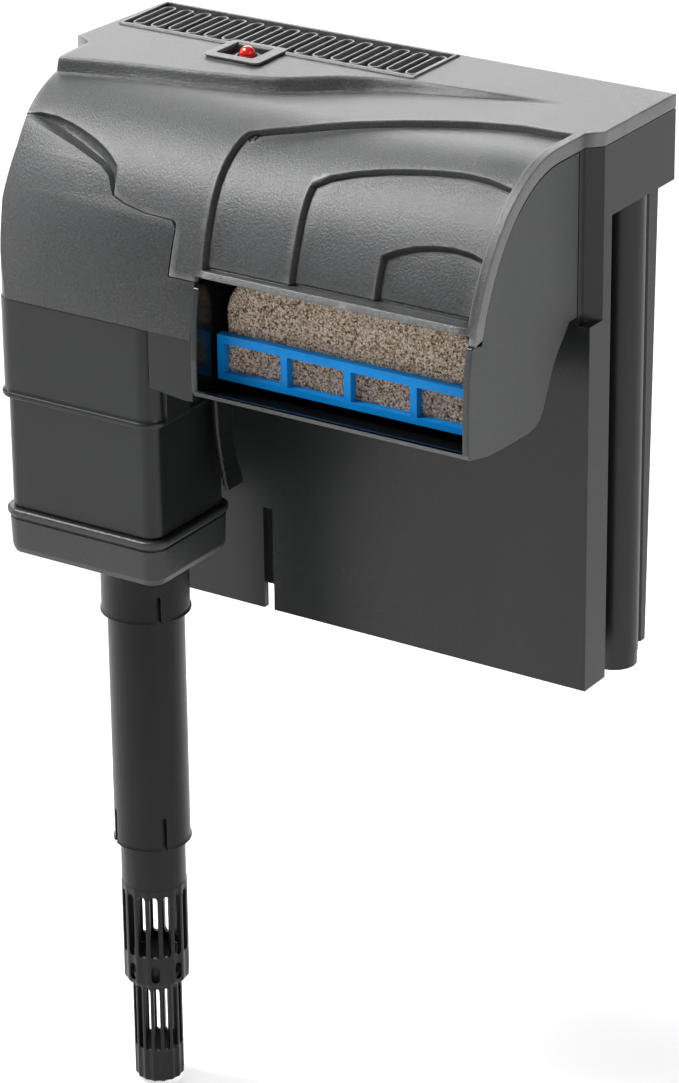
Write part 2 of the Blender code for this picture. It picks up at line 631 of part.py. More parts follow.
def make_riser():
    path = [(RISER_X, RISER_Y, -22.0), (RISER_X, RISER_Y, 10.0)]
    for step in range(1, 6):
        angle = math.radians(90 * step / 5)
        path.append((RISER_X, RISER_Y + 22 * (1 - math.cos(angle)), 10 + 22 * math.sin(angle)))
    path.append((RISER_X, 14.0, 32.0))
    finish("riser_pipe", swept_pipe(path, 11.2, 9.4), "smooth_black", origin=(RISER_X, RISER_Y, 0.0))
    ring = [
        (8.2 + 0.95 * math.cos(math.radians(a)), SLEEVE_Z + 22 + 6 - 9 + 0.95 * math.sin(math.radians(a)))
        for a in range(0, 360, 45)
    ]
    seal = turned(ring, RISER_X, RISER_Y, 24)
    finish("riser_seal", seal, "rubber_black", origin=(RISER_X, RISER_Y, -27.0))


def make_latch():
    """The sprung lever that holds the pump in its sleeve, with four thumb ridges."""
    outline = [
        (-25.6, -38.0), (-25.6, -62.0), (-24.4, -72.0), (-20.8, -81.5), (-18.6, -80.5), (-21.4, -71.0),
        (-23.2, -61.0), (-23.2, -38.0),
    ]
    latch = finish(
        "release_latch",
        prism(outline, "Y", -36.0, -24.0),
        "smooth_black",
        origin=(-24.4, -30.0, -39.0),
    )
    for number in range(4):
        low_z = -64.5 - 3.2 * number
        join(latch, block((-22.9, -35.0, low_z), (-20.8 + 0.6 * number, -25.0, low_z + 1.3)))
    return latch


# --- intake -------------------------------------------------------------------------------
def make_intake_tube():
    tube = finish(
        "intake_tube",
        pipe(TUBE_R, TUBE_BORE, TUBE_Z, CAP_Z - 1.6, TUBE_X, TUBE_Y),
        "smooth_black",
        origin=(TUBE_X, TUBE_Y, COLLAR_Z),
    )
    cut(tube, *slot_cutters(TUBE_X, TUBE_Y, 2, 18.0, 2.2, TUBE_Z - 3, TUBE_Z + 14.0, SPLIT_TURN))
    return tube


def make_strainers():
    upper = finish(
        "strainer_upper",
        pipe(STRAINER_R, STRAINER_BORE, STRAINER_Z, TUBE_Z + 26.0, TUBE_X, TUBE_Y),
        "smooth_black",
        origin=(TUBE_X, TUBE_Y, TUBE_Z),
    )
    cut(upper, *slot_cutters(TUBE_X, TUBE_Y, 8, 15.0, 2.8, -273.5, -247.0, SLOT_TURN))
    cut(upper, *slot_cutters(TUBE_X, TUBE_Y, 4, 15.0, 2.8, -284.0, -277.0, SLOT_TURN))
    lower = finish(
        "strainer_lower",
        pipe(TIP_R, TIP_BORE, TIP_Z, STRAINER_Z + 10.0, TUBE_X, TUBE_Y),
        "smooth_black",
        origin=(TUBE_X, TUBE_Y, STRAINER_Z),
    )
    cut(lower, *slot_cutters(TUBE_X, TUBE_Y, 8, 12.0, 2.0, -316.0, -288.0, SLOT_TURN))
    cut(lower, *slot_cutters(TUBE_X, TUBE_Y, 8, 12.0, 1.7, TIP_Z - 3, TIP_Z + 2.6, SLOT_TURN + 11.25))
    return upper, lower


def main():
    clear_scene()
    make_filter_body()
    make_spillway_trough()
    make_bay_shell()
    make_pump_sleeve()
    make_lid()
    make_led()
    make_cartridge()
    make_diffuser()
    make_pump_housing()
    make_base_cap()
    make_gasket()
    make_motor()
    make_impeller()
    make_volute()
    make_riser()
    make_latch()
    make_intake_tube()
    make_strainers()


main()
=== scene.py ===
"""Looks for the hang-on-back aquarium filter: finished meshes, materials, light and camera.

Lengths are in millimetres and turned into metres when a mesh or a light is made.
"""
import json
import math

import bmesh
import bpy
import numpy as np
from mathutils import Matrix, Vector, noise
from mathutils.geometry import delaunay_2d_cdt


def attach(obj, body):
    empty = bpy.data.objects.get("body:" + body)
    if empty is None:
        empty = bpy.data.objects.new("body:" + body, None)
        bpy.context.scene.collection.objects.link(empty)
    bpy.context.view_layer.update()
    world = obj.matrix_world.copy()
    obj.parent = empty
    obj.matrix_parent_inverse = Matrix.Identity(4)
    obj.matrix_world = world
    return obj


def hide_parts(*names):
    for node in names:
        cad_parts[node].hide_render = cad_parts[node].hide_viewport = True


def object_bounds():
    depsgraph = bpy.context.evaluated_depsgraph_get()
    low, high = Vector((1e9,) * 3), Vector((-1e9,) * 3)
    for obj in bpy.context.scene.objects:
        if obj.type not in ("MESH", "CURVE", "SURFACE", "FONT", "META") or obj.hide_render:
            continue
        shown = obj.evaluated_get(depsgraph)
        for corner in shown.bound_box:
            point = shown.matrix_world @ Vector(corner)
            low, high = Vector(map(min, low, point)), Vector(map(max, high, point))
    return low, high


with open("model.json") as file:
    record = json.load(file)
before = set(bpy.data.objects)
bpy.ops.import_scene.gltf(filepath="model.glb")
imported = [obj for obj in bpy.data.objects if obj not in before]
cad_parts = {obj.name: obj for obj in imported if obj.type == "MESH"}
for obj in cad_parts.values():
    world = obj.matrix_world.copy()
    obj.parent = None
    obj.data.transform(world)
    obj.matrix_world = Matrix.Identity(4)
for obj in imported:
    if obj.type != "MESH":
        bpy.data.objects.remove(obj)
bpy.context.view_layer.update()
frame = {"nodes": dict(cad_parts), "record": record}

MM = 0.001

# --- camera -------------------------------------------------------------------------------
CAMERA_PLACE = (0.821904, -1.244027, 0.546026)
CAMERA_AZIMUTH, CAMERA_ELEVATION, CAMERA_ROLL = 33.24475, 23.74496, -0.6307
CAMERA_LENS, SENSOR = 144.367, 36.0

# --- the object, as its CAD source has it --------------------------------------------------
TOP_Z, REAR_Y, LIP_Z = 67.0, 63.0, 14.9
HOOD_Y, HOOD_Z, HOOD_A, HOOD_B = -10.6, -15.0, 60.0, 82.0
FLAT = REAR_Y - HOOD_Y                 # depth of the lid's flat part
LID_DEEP, WALL, GAP = 5.2, 2.6, 0.3
CHEEK_X, RIGHT_X, LEFT_X, LEFT_WIDE_X, STEP_Y = 106.1, 111.0, -111.0, -114.5, 12.2
LED_X, LED_Y = -46.5, 22.5
FRONT_Y, BAY_X, SHELL_Z, SLEEVE_Z = -70.0, -9.5, -7.9, -46.9
PUMP_LEFT, PUMP_RIGHT, PUMP_REAR = -97.5, -27.5, -20.3
RISER_X, RISER_Y = -76.0, -45.0
HOUSING_Z, CAP_Z, COLLAR_Z = -91.5, -110.3, -130.0
TUBE_X, TUBE_Y, TUBE_R, TUBE_Z = -49.0, -48.0, 14.5, -226.0
SPLIT_TURN, SLOT_TURN = -37.0, -57.0
GRID_LEFT, GRID_RIGHT, GRID_LOW, GRID_TOP = -5.5, 103.0, -25.0, -7.9
GRID_FRONT, GRID_DEEP = -59.8, 3.4
UPPER_NECK_Z, UPPER_LOW_Z, LOWER_TOP_Z, LOWER_LOW_Z = -244.6, -286.0, -276.0, -329.5
LATCH_Y, GRIP_TOP_Z, GRIP_LOW_Z, RIDGE_PITCH = -30.0, -62.0, -76.0, 3.0

# --- light, in metres and watts: name, place, aim, size, power ------------------------------
LIGHTS = (
    ("key", (-0.95, -0.4, 1.45), (0, -0.02, 0), (0.8, 0.8), 54),
    ("back", (-1.2, 1.9, 0.95), (0, 0, 0.05), (1.7, 0.9), 27),
    ("side", (1.7, -0.4, 0.5), (0, 0, -0.1), (0.6, 1.4), 6),
    ("left", (-1.75, -0.6, 0.1), (0, 0, -0.1), (0.25, 1.4), 8),
)
FLOOR_HALF, FLOOR_GAP = 40, 0.002
FLOOR_GLOW = ((0.0, 0.6), (0.09, 0.6), (0.16, 0.35), (0.3, 0.4), (0.5, 0.85))


# --- camera and light ---------------------------------------------------------------------
def make_camera():
    """The camera that the proportions were fitted with."""
    azimuth, elevation, roll = (
        math.radians(value) for value in (CAMERA_AZIMUTH, CAMERA_ELEVATION, CAMERA_ROLL)
    )
    back = Vector((
        math.sin(azimuth) * math.cos(elevation),
        -math.cos(azimuth) * math.cos(elevation),
        math.sin(elevation),
    ))
    right = (-back).cross(Vector((0, 0, 1))).normalized()
    up = right.cross(-back)
    turned_right = right * math.cos(roll) + up * math.sin(roll)
    turned_up = -right * math.sin(roll) + up * math.cos(roll)
    data = bpy.data.cameras.new("camera")
    data.lens, data.sensor_width = CAMERA_LENS, SENSOR
    data.clip_end = 20.0
    camera = bpy.data.objects.new("camera", data)
    matrix = Matrix((turned_right, turned_up, back)).transposed().to_4x4()
    matrix.translation = CAMERA_PLACE
    camera.matrix_world = matrix
    bpy.context.scene.collection.objects.link(camera)
    bpy.context.scene.camera = camera


def area_light(name, place, aim, size, power):
    """A rectangular light at place that faces aim."""
    data = bpy.data.lights.new(name, "AREA")
    data.shape = "RECTANGLE"
    data.size, data.size_y = size
    data.energy = power
    light = bpy.data.objects.new(name, data)
    light.location = place
    light.rotation_mode = "QUATERNION"
    light.rotation_quaternion = (Vector(aim) - Vector(place)).to_track_quat("-Z", "Y")
    bpy.context.scene.collection.objects.link(light)


def make_studio():
    """A world that is bright at the horizon, four lights, and a pale floor with a soft glow."""
    world = bpy.data.worlds.new("studio")
    world.use_nodes = True
    nodes, links = world.node_tree.nodes, world.node_tree.links
    height = nodes.new("ShaderNodeSeparateXYZ")
    links.new(nodes.new("ShaderNodeTexCoord").outputs["Generated"], height.inputs["Vector"])
    fade = nodes.new("ShaderNodeMapRange")
    for socket, number in zip(("From Min", "From Max", "To Min", "To Max"), (0.02, 0.3, 0.95, 0.22)):
        fade.inputs[socket].default_value = number
    links.new(height.outputs["Z"], fade.inputs["Value"])
    links.new(fade.outputs["Result"], nodes["Background"].inputs["Strength"])
    nodes["Background"].inputs["Color"].default_value = (1, 1, 1, 1)
    bpy.context.scene.world = world
    bpy.context.scene.view_settings.view_transform = "Standard"
    for light in LIGHTS:
        area_light(*light)
    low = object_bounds()[0][2] - FLOOR_GAP
    signs = ((-1, -1), (1, -1), (1, 1), (-1, 1))
    mesh = bpy.data.meshes.new("floor")
    mesh.from_pydata([(FLOOR_HALF * x, FLOOR_HALF * y, low) for x, y in signs], [], [(0, 1, 2, 3)])
    floor = bpy.data.objects.new("floor", mesh)
    bpy.context.scene.collection.objects.link(floor)
    pale = Nodes("pale_floor")
    reach = pale.add("ShaderNodeVectorMath", operation="LENGTH")
    pale.link(pale.place, reach.inputs[0])
    glow = pale.ramp(pale.spread(reach.outputs["Value"], 0.0, 4.0, 0.0, 1.0), [
        (position, (level,) * 3) for position, level in FLOOR_GLOW
    ])
    pale.link(glow, pale.shader.inputs["Emission Color"])
    pale.shader.inputs["Emission Strength"].default_value = 1.0
    pale.shader.inputs["Base Color"].default_value = (0.6, 0.6, 0.6, 1)
    pale.constant(roughness=0.9)
    mesh.materials.append(pale.material)


# --- materials ----------------------------------------------------------------------------
class Nodes:
    """A material's node tree, with short calls that add nodes."""

    def __init__(self, name):
        self.material = bpy.data.materials.new(name)
        self.material.use_nodes = True
        self.tree = self.material.node_tree
        self.shader = self.tree.nodes["Principled BSDF"]
        self.place = self.add("ShaderNodeTexCoord").outputs["Object"]

    def add(self, kind, **settings):
        node = self.tree.nodes.new(kind)
        for key, value in settings.items():
            setattr(node, key, value)
        return node

    def link(self, output, target):
        self.tree.links.new(output, target)

    def noise(self, scale, detail=3.0, roughness=0.5, stretch=None):
        node = self.add("ShaderNodeTexNoise")
        node.inputs["Scale"].default_value = scale
        node.inputs["Detail"].default_value = detail
        node.inputs["Roughness"].default_value = roughness
        place = self.place
        if stretch:
            mapping = self.add("ShaderNodeMapping")
            mapping.inputs["Scale"].default_value = stretch
            self.link(place, mapping.inputs["Vector"])
            place = mapping.outputs["Vector"]
        self.link(place, node.inputs["Vector"])
        return node.outputs["Fac"]

    def cells(self, scale):
        node = self.add("ShaderNodeTexVoronoi")
        node.inputs["Scale"].default_value = scale
        self.link(self.place, node.inputs["Vector"])
        return node

    def spread(self, value, low, high, to_low, to_high):
        node = self.add("ShaderNodeMapRange")
        for socket, number in zip(("From Min", "From Max", "To Min", "To Max"), (low, high, to_low, to_high)):
            node.inputs[socket].default_value = number
        self.link(value, node.inputs["Value"])
        return node.outputs["Result"]

    def ramp(self, value, stops):
        node = self.add("ShaderNodeValToRGB")
        elements = node.color_ramp.elements
        while len(elements) < len(stops):
            elements.new(0.5)
        for element, (position, colour) in zip(elements, stops):
            element.position = position
            element.color = (*colour, 1.0)
        self.link(value, node.inputs["Fac"])
        return node.outputs["Color"]

    def mix(self, factor, first, second):
        node = self.add("ShaderNodeMix", data_type="RGBA")
        self.link(factor, node.inputs["Factor"])
        for socket, colour in ((node.inputs["A"], first), (node.inputs["B"], second)):
            if isinstance(colour, tuple):
                socket.default_value = (*colour, 1.0)
            else:
                self.link(colour, socket)
        return node.outputs["Result"]

    def bump(self, *layers):
        """Each layer is (height, distance in millimetres)."""
        normal = None
        for height, distance in layers:
            node = self.add("ShaderNodeBump")
            node.inputs["Distance"].default_value = distance * MM
            self.link(height, node.inputs["Height"])
            if normal:
                self.link(normal, node.inputs["Normal"])
            normal = node.outputs["Normal"]
        self.link(normal, self.shader.inputs["Normal"])

    def constant(self, **values):
        for name, value in values.items():
            self.shader.inputs[name.replace("_", " ").title().replace("Ior", "IOR")].default_value = value


def moulded_plastic(name, colour, roughness, grain, depth, edge_highlight_and_crease_shade=0.0, shine=0.5, speckle=0.0):
    """Injection-moulded plastic: eroded grain, faint flow shading, and on a dense mesh a painted highlight on convex
    edges and painted shade in concave creases.
    """
    nodes = Nodes(name)
    fine = nodes.noise(grain, 4.0, 0.65)
    broad = nodes.noise(22.0, 3.0, 0.5, stretch=(1.0, 1.0, 0.35))
    edge = nodes.add("ShaderNodeNewGeometry").outputs["Pointiness"]
    dark = tuple(value * 0.86 for value in colour)
    pale = tuple(min(1.0, value * 1.16 + 0.002) for value in colour)
    # The colour of the painted highlight on convex edges.
    painted_edge_highlight = tuple(min(1.0, value * (1 + edge_highlight_and_crease_shade * 3) + edge_highlight_and_crease_shade * 0.3) for value in colour)
    base = nodes.mix(nodes.spread(broad, 0.3, 0.7, 0.0, 1.0), dark, pale)
    if speckle:
        flecks = tuple(min(1.0, value * 2.6) for value in colour)
        base = nodes.mix(nodes.spread(fine, 0.42, 0.72, 0.0, speckle), base, flecks)
    if edge_highlight_and_crease_shade:
        # Painted highlight: convex edges (high pointiness) are painted paler.
        base = nodes.mix(nodes.spread(edge, 0.506, 0.55, 0.0, edge_highlight_and_crease_shade), base, painted_edge_highlight)
        # Painted shade: concave creases (low pointiness) are painted near-black.
        base = nodes.mix(nodes.spread(edge, 0.43, 0.49, 1.0, 0.0), base, (0.001, 0.001, 0.001))
    nodes.link(base, nodes.shader.inputs["Base Color"])
    matt = nodes.spread(fine, 0.3, 0.7, roughness - 0.05, roughness + 0.07)
    nodes.link(matt, nodes.shader.inputs["Roughness"])
    nodes.constant(specular_ior_level=shine)
    nodes.bump((broad, 0.05), (fine, depth))
    return nodes.material


def red_lens(name):
    """Clear red plastic, cloudy inside."""
    nodes = Nodes(name)
    cloud = nodes.noise(260.0, 3.0, 0.5)
    base = nodes.mix(nodes.spread(cloud, 0.3, 0.7, 0.0, 1.0), (0.42, 0.003, 0.004), (0.72, 0.012, 0.010))
    nodes.link(base, nodes.shader.inputs["Base Color"])
    nodes.link(base, nodes.shader.inputs["Emission Color"])
    nodes.link(nodes.spread(cloud, 0.3, 0.7, 0.10, 0.2), nodes.shader.inputs["Roughness"])
    nodes.constant(emission_strength=0.25, coat_weight=0.6, ior=1.55)
    nodes.bump((cloud, 0.02))
    return nodes.material


def fibre(name, stops, cell, strand, depth):
    """Matted fibre: flecks of several colours, crossed by thin strands."""
    nodes = Nodes(name)
    fleck = nodes.cells(cell)
    shade = nodes.noise(cell * 0.8, 5.0, 0.75)
    strands = nodes.noise(strand, 4.0, 0.7, stretch=(0.3, 1.0, 1.0))
    chosen = nodes.add("ShaderNodeMath", operation="MULTIPLY_ADD")
    nodes.link(fleck.outputs["Color"], chosen.inputs[0])
    chosen.inputs[1].default_value = 0.6
    nodes.link(nodes.spread(shade, 0.36, 0.62, -0.2, 0.75), chosen.inputs[2])
    colour = nodes.ramp(chosen.outputs["Value"], stops)
    nodes.link(colour, nodes.shader.inputs["Base Color"])
    nodes.link(nodes.spread(shade, 0.3, 0.7, 0.85, 0.95), nodes.shader.inputs["Roughness"])
    nodes.constant(specular_ior_level=0.2)
    nodes.bump((strands, depth), (shade, depth * 1.4), (fleck.outputs["Distance"], depth * 0.8))
    return nodes.material


def metal(name, dark, pale, roughness, layers):
    """Stacked iron sheets: fine lines across the height, patches of tarnish."""
    nodes = Nodes(name)
    patch = nodes.noise(120.0, 4.0, 0.6)
    lines = nodes.noise(layers, 1.0, 0.3, stretch=(0.02, 0.02, 1.0))
    colour = nodes.mix(nodes.spread(patch, 0.35, 0.65, 0.0, 1.0), dark, pale)
    nodes.link(colour, nodes.shader.inputs["Base Color"])
    matt = nodes.spread(patch, 0.3, 0.7, roughness - 0.1, roughness + 0.15)
    nodes.link(matt, nodes.shader.inputs["Roughness"])
    nodes.constant(metallic=0.85)
    nodes.bump((lines, 0.15), (patch, 0.02))
    return nodes.material


# Name, then colour, roughness, grain, depth of the grain, and where they differ: painted edge highlight and crease
# shade, shine, speckle.
PLASTICS = (
    ("textured_black", ((0.025, 0.026, 0.027), 0.37, 1300.0, 0.22, 0.6, 0.5, 0.8)),
    ("textured_body", ((0.022, 0.023, 0.024), 0.40, 1300.0, 0.22, 0.0, 0.5, 0.8)),
    ("cap_black", ((0.012, 0.013, 0.013), 0.38, 1300.0, 0.14, 0.0, 0.5, 0.5)),
    ("smooth_black", ((0.006, 0.007, 0.007), 0.32, 1100.0, 0.03, 0.0, 0.4)),
    # A glossier black for the spillway's inside: a smoother finish, with its darkness painted shade.
    ("gloss_black_painted_shade", ((0.003, 0.0035, 0.004), 0.16, 600.0, 0.01, 0.0, 0.5)),
    ("tube_black", ((0.003, 0.0035, 0.0035), 0.33, 1500.0, 0.1, 0.0, 0.22)),
    ("rubber_black", ((0.012, 0.012, 0.012), 0.7, 1500.0, 0.02)),
    ("blue_plastic", ((0.0, 0.22, 0.62), 0.3, 700.0, 0.012, 0.0, 0.15)),
    ("ceramic_white", ((0.8, 0.79, 0.76), 0.25, 900.0, 0.005)),
    ("magnet_grey", ((0.05, 0.05, 0.055), 0.4, 1800.0, 0.02)),
    ("green_board", ((0.015, 0.13, 0.05), 0.35, 1600.0, 0.01)),
)


def make_materials():
    tan = ((0.0, (0.02, 0.013, 0.01)), (0.26, (0.14, 0.085, 0.055)), (0.45, (0.40, 0.28, 0.19)),
           (0.7, (0.64, 0.50, 0.38)), (1.0, (0.86, 0.78, 0.68)))
    white = ((0.0, (0.45, 0.48, 0.5)), (0.4, (0.66, 0.69, 0.7)), (0.7, (0.8, 0.82, 0.82)),
             (1.0, (0.9, 0.91, 0.9)))
    return {
        **{name: moulded_plastic(name, *values) for name, values in PLASTICS},
        "dark_iron": metal("dark_iron", (0.09, 0.08, 0.075), (0.2, 0.18, 0.16), 0.45, 2400.0),
        "red_lens": red_lens("red_lens"),
        "tan_pad": fibre("tan_pad", tan, 1350.0, 1500.0, 0.7),
        "white_floss": fibre("white_floss", white, 300.0, 1300.0, 0.4),
    }


# --- meshes -------------------------------------------------------------------------------
def add_piece(name, mesh_data, material, body, replaced=(), sharp=40.0, even=True):
    """An object from a bmesh in millimetres that rides on a body."""
    bmesh.ops.recalc_face_normals(mesh_data, faces=mesh_data.faces)
    bmesh.ops.scale(mesh_data, verts=mesh_data.verts, vec=(MM, MM, MM))
    mesh = bpy.data.meshes.new(name)
    mesh_data.to_mesh(mesh)
    mesh_data.free()
    mesh.shade_smooth()
    mesh.set_sharp_from_angle(angle=math.radians(sharp))
    mesh.materials.append(material)
    piece = bpy.data.objects.new(name, mesh)
    bpy.context.scene.collection.objects.link(piece)
    if even:
        weighted = piece.modifiers.new("even shading", "WEIGHTED_NORMAL")
        weighted.keep_sharp = True
        weighted.weight = 80
    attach(piece, body)
    if replaced:
        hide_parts(*replaced)
    return piece


# --- the lid ------------------------------------------------------------------------------
# A point of the lid is (x, t): t is the distance from the rear edge, along the top and down the hood.
# Two tongues carry the lid past its lip: one beside the bay's seam, a longer one at the cheek.
TONGUE, CHEEK_TONGUE, CHEEK_TONGUE_WIDE = 1.9, 3.2, 2.6
PAST_LIP, HOOD_STEPS = 0.09, 600       # radians that the hood's curve is carried on below the lip
LIP_ANGLE = math.asin((LIP_Z - HOOD_Z) / HOOD_B)
HOOD_ANGLES = np.linspace(math.pi / 2, LIP_ANGLE - PAST_LIP, HOOD_STEPS)
HOOD_POINTS = np.stack([HOOD_Y - HOOD_A * np.cos(HOOD_ANGLES), HOOD_Z + HOOD_B * np.sin(HOOD_ANGLES)], 1)
HOOD_ARC = FLAT + np.concatenate([[0], np.cumsum(np.hypot(*np.diff(HOOD_POINTS, axis=0).T))])
LIP_T = float(np.interp(-LIP_ANGLE, -HOOD_ANGLES, HOOD_ARC))
PANEL_DEEP = 2.3

# How a moulded step falls away, as (distance past its edge, share of its depth).
STEP_RAMP = (
    (-0.5, 0.0), (-0.2, 0.02), (0.0, 0.12), (0.15, 0.32), (0.5, 0.95), (0.7, 1.14), (1.0, 1.18),
    (1.35, 1.06), (1.7, 1.0),
)
CREASE_RAMP = (
    (-0.9, 0.0), (-0.4, 0.02), (0.0, 0.08), (0.5, 0.24), (1.0, 0.46), (1.8, 0.82), (2.4, 1.0),
    (2.7, 1.1), (3.0, 1.1), (3.3, 1.0),
)
LEAF_RAMP = ((-0.4, 0.0), (-0.15, 0.03), (0.0, 0.08), (0.3, 0.3), (1.0, 0.62), (3.0, 0.9), (7.0, 1.0))
EDGE_RAMP = ((0.0, -0.5), (0.15, -0.2), (0.5, 0.0))

CREASE = (
    (-125.0, 83.0), (-104.3, 78.4), (-77.2, 71.7), (-51.6, 66.8), (-31.1, 61.8), (-22.0, 58.5),
    (-13.5, 52.9), (-2.9, 45.0), (8.0, 40.0), (25.7, 36.1), (50.0, 33.4), (83.0, 30.1), (125.0, 27.0),
)
CREASE_DEEP, CREASE_FULL_X, CREASE_END_X = 4.3, 5.0, 83.0

LEFT_SIDE = (
    (-59.2, 123.3), (-72.8, 118.3), (-90.0, 112.9), (-100.8, 109.5), (-102.6, 98.0), (-104.9, 78.4),
    (-106.0, 58.4), (LEFT_WIDE_X, 53.2), (LEFT_X, 0.0),
)
BAY_SEAM = (
    (-21.0, LIP_T + TONGUE), (-21.2, 146.8), (-21.6, 139.6), (-22.2, 138.2), (-23.6, 137.6), (-35.5, 137.1),
    (-45.0, 135.3), (-50.2, 133.3), (-51.8, 131.2), (-53.4, 128.0), (-55.6, 125.2),
)
LID_OUTLINE = (
    (RIGHT_X, 0.0), (RIGHT_X, REAR_Y - STEP_Y), (CHEEK_X, REAR_Y - 7.0),
    (CHEEK_X, LIP_T + CHEEK_TONGUE), (CHEEK_X - CHEEK_TONGUE_WIDE, LIP_T + CHEEK_TONGUE),
    (CHEEK_X - CHEEK_TONGUE_WIDE, LIP_T), (BAY_X - GAP, LIP_T), (BAY_X - GAP, LIP_T + TONGUE),
) + BAY_SEAM + LEFT_SIDE
LEAF = (
    (-106.0, 109.6), (-102.0, 109.1), (-95.1, 106.9), (-87.1, 107.2), (-80.0, 108.9), (-73.4, 111.1),
    (-66.5, 113.8), (-61.0, 116.7), (-56.5, 119.6), (-53.4, 122.2), (-52.0, 125.3), (-51.2, 129.5),
    (-50.4, 133.3), (-52.0, 138.0), (-80.0, 130.0), (-106.0, 118.0),
)
PANELS = (
    ((-7.2, 152.8), (-8.1, 147.3), (-9.0, 137.8), (-9.9, 128.8), (-10.8, 120.3), (-11.5, 112.0),
     (-11.7, 104.3), (-11.2, 98.5), (-10.2, 95.9), (-3.7, 92.0), (5.3, 87.4), (14.5, 82.8), (23.8, 78.1),
     (32.7, 73.6), (41.8, 69.2), (54.5, 64.4), (65.6, 61.3), (81.7, 59.2), (102.3, 58.4), (102.3, 152.8)),
    ((27.6, 151.9), (27.2, 144.9), (26.6, 135.5), (25.7, 126.6), (24.9, 118.1), (25.0, 112.7),
     (30.1, 108.3), (39.1, 104.1), (49.2, 100.9), (59.7, 98.6), (70.5, 97.0), (80.0, 96.3), (90.0, 96.8),
     (101.4, 99.3), (101.4, 151.9)),
    ((61.3, 151.0), (61.0, 145.5), (60.7, 139.5), (60.8, 134.2), (65.8, 130.9), (72.8, 128.2),
     (80.0, 126.6), (87.4, 125.9), (95.2, 126.6), (100.5, 128.2), (100.5, 151.0)),
)
VENT_LEFT, VENT_RIGHT, VENT_FRONT_Y, VENT_REAR_Y = -109.0, 21.5, 29.3, 60.4
SLOTS, SLOT_FIRST_X, SLOT_LAST_X = 16, -104.0, 17.0
SLOT_FRONT_Y, SLOT_REAR_Y, SLOT_HALF = 33.6, 56.6, 1.75
FRAME_RAMP = (
    (-0.7, 0.0), (-0.35, 0.35), (-0.1, 0.85), (0.2, 1.0), (1.0, 1.0), (1.25, 0.7), (1.45, -1.2), (1.75, -1.9),
)
RIM_RAMP = ((-1.15, 0.0), (-1.0, 0.35), (-0.75, 1.0), (-0.2, 1.0), (0.0, 0.8))
FRAME_HIGH, RIM_HIGH, LIP_FLARE, LEAF_DEEP = 0.8, 1.7, 1.0, 3.0
LINE_STEP, ACROSS_STEP = 2.4, 3.0      # how far apart the lid's points lie


def place_on_lid(points, height):
    """3-D points at a height above the lid's base surface."""
    t = points[:, 1]
    angle = np.interp(t, HOOD_ARC, HOOD_ANGLES)
    normal_y, normal_z = -np.cos(angle) / HOOD_A, np.sin(angle) / HOOD_B
    length = np.hypot(normal_y, normal_z)
    on_hood = t > FLAT
    y = np.where(on_hood, HOOD_Y - HOOD_A * np.cos(angle), REAR_Y - t) + height * normal_y / length * on_hood
    z = np.where(on_hood, HOOD_Z + HOOD_B * np.sin(angle), TOP_Z)
    z = z + height * np.where(on_hood, normal_z / length, 1.0)
    return np.stack([points[:, 0], y, z], 1)


def side_distance(points, x0, t0, x1, t1):
    """Distance of each point to one side of an outline."""
    along = np.array([x1 - x0, t1 - t0])
    share = ((points - (x0, t0)) @ along / (along @ along)).clip(0, 1)
    return np.hypot(*(points - (x0, t0) - share[:, None] * along).T)


def inside_distance(points, outline):
    """Distance of each point to a closed outline, positive inside it."""
    corners = np.array(outline, float)
    inside = np.zeros(len(points), bool)
    nearest = np.full(len(points), 1e9)
    for (x0, t0), (x1, t1) in zip(corners, np.roll(corners, -1, axis=0)):
        nearest = np.minimum(nearest, side_distance(points, x0, t0, x1, t1))
        if t0 != t1:
            crosses = ((points[:, 1] > t0) != (points[:, 1] > t1))
            at = x0 + (points[:, 1] - t0) * (x1 - x0) / (t1 - t0)
            inside ^= crosses & (points[:, 0] < at)
    return np.where(inside, nearest, -nearest)


def moved_in(outline, distance):
    """A closed outline moved inwards, or outwards where distance is negative."""
    corners = np.array(outline, float)
    before, after = corners - np.roll(corners, 1, axis=0), np.roll(corners, -1, axis=0) - corners
    area = sum(a[0] * b[1] - a[1] * b[0] for a, b in zip(corners, np.roll(corners, -1, axis=0)))
    turn = math.copysign(1.0, area)
    normals = []
    for edge in (before, after):
        unit = edge / np.hypot(*edge.T)[:, None]
        normals.append(np.stack([-unit[:, 1], unit[:, 0]], 1) * turn)
    middle = normals[0] + normals[1]
    middle /= np.maximum((middle * normals[0]).sum(1), 0.3)[:, None]
    return corners + distance * middle


def slot_outline(number):
    x = SLOT_FIRST_X + (SLOT_LAST_X - SLOT_FIRST_X) * number / (SLOTS - 1)
    points = []
    for y, start in ((SLOT_REAR_Y - SLOT_HALF, 0.0), (SLOT_FRONT_Y + SLOT_HALF, 180.0)):
        for step in range(7):
            angle = math.radians(start + 30 * step)
            points.append((x + SLOT_HALF * math.cos(angle), REAR_Y - y - SLOT_HALF * math.sin(angle)))
    return points


def rectangle(x0, t0, x1, t1):
    return [(x0, t0), (x1, t0), (x1, t1), (x0, t1)]


def crease_line(x):
    """Where the crease runs, and how far its step is stretched by its slant."""
    spots, values = np.array(CREASE).T
    fine = np.linspace(-125, 125, 501)
    window = np.hanning(17)
    smooth = np.convolve(np.interp(fine, spots, values), window / window.sum(), "same")
    smooth[:8], smooth[-8:] = np.interp(fine[:8], spots, values), np.interp(fine[-8:], spots, values)
    slope = np.gradient(smooth, fine)
    return np.interp(x, fine, smooth), np.hypot(1.0, np.interp(x, fine, slope))


def smooth_step(value):
    value = np.clip(value, 0, 1)
    return value * value * (3 - 2 * value)


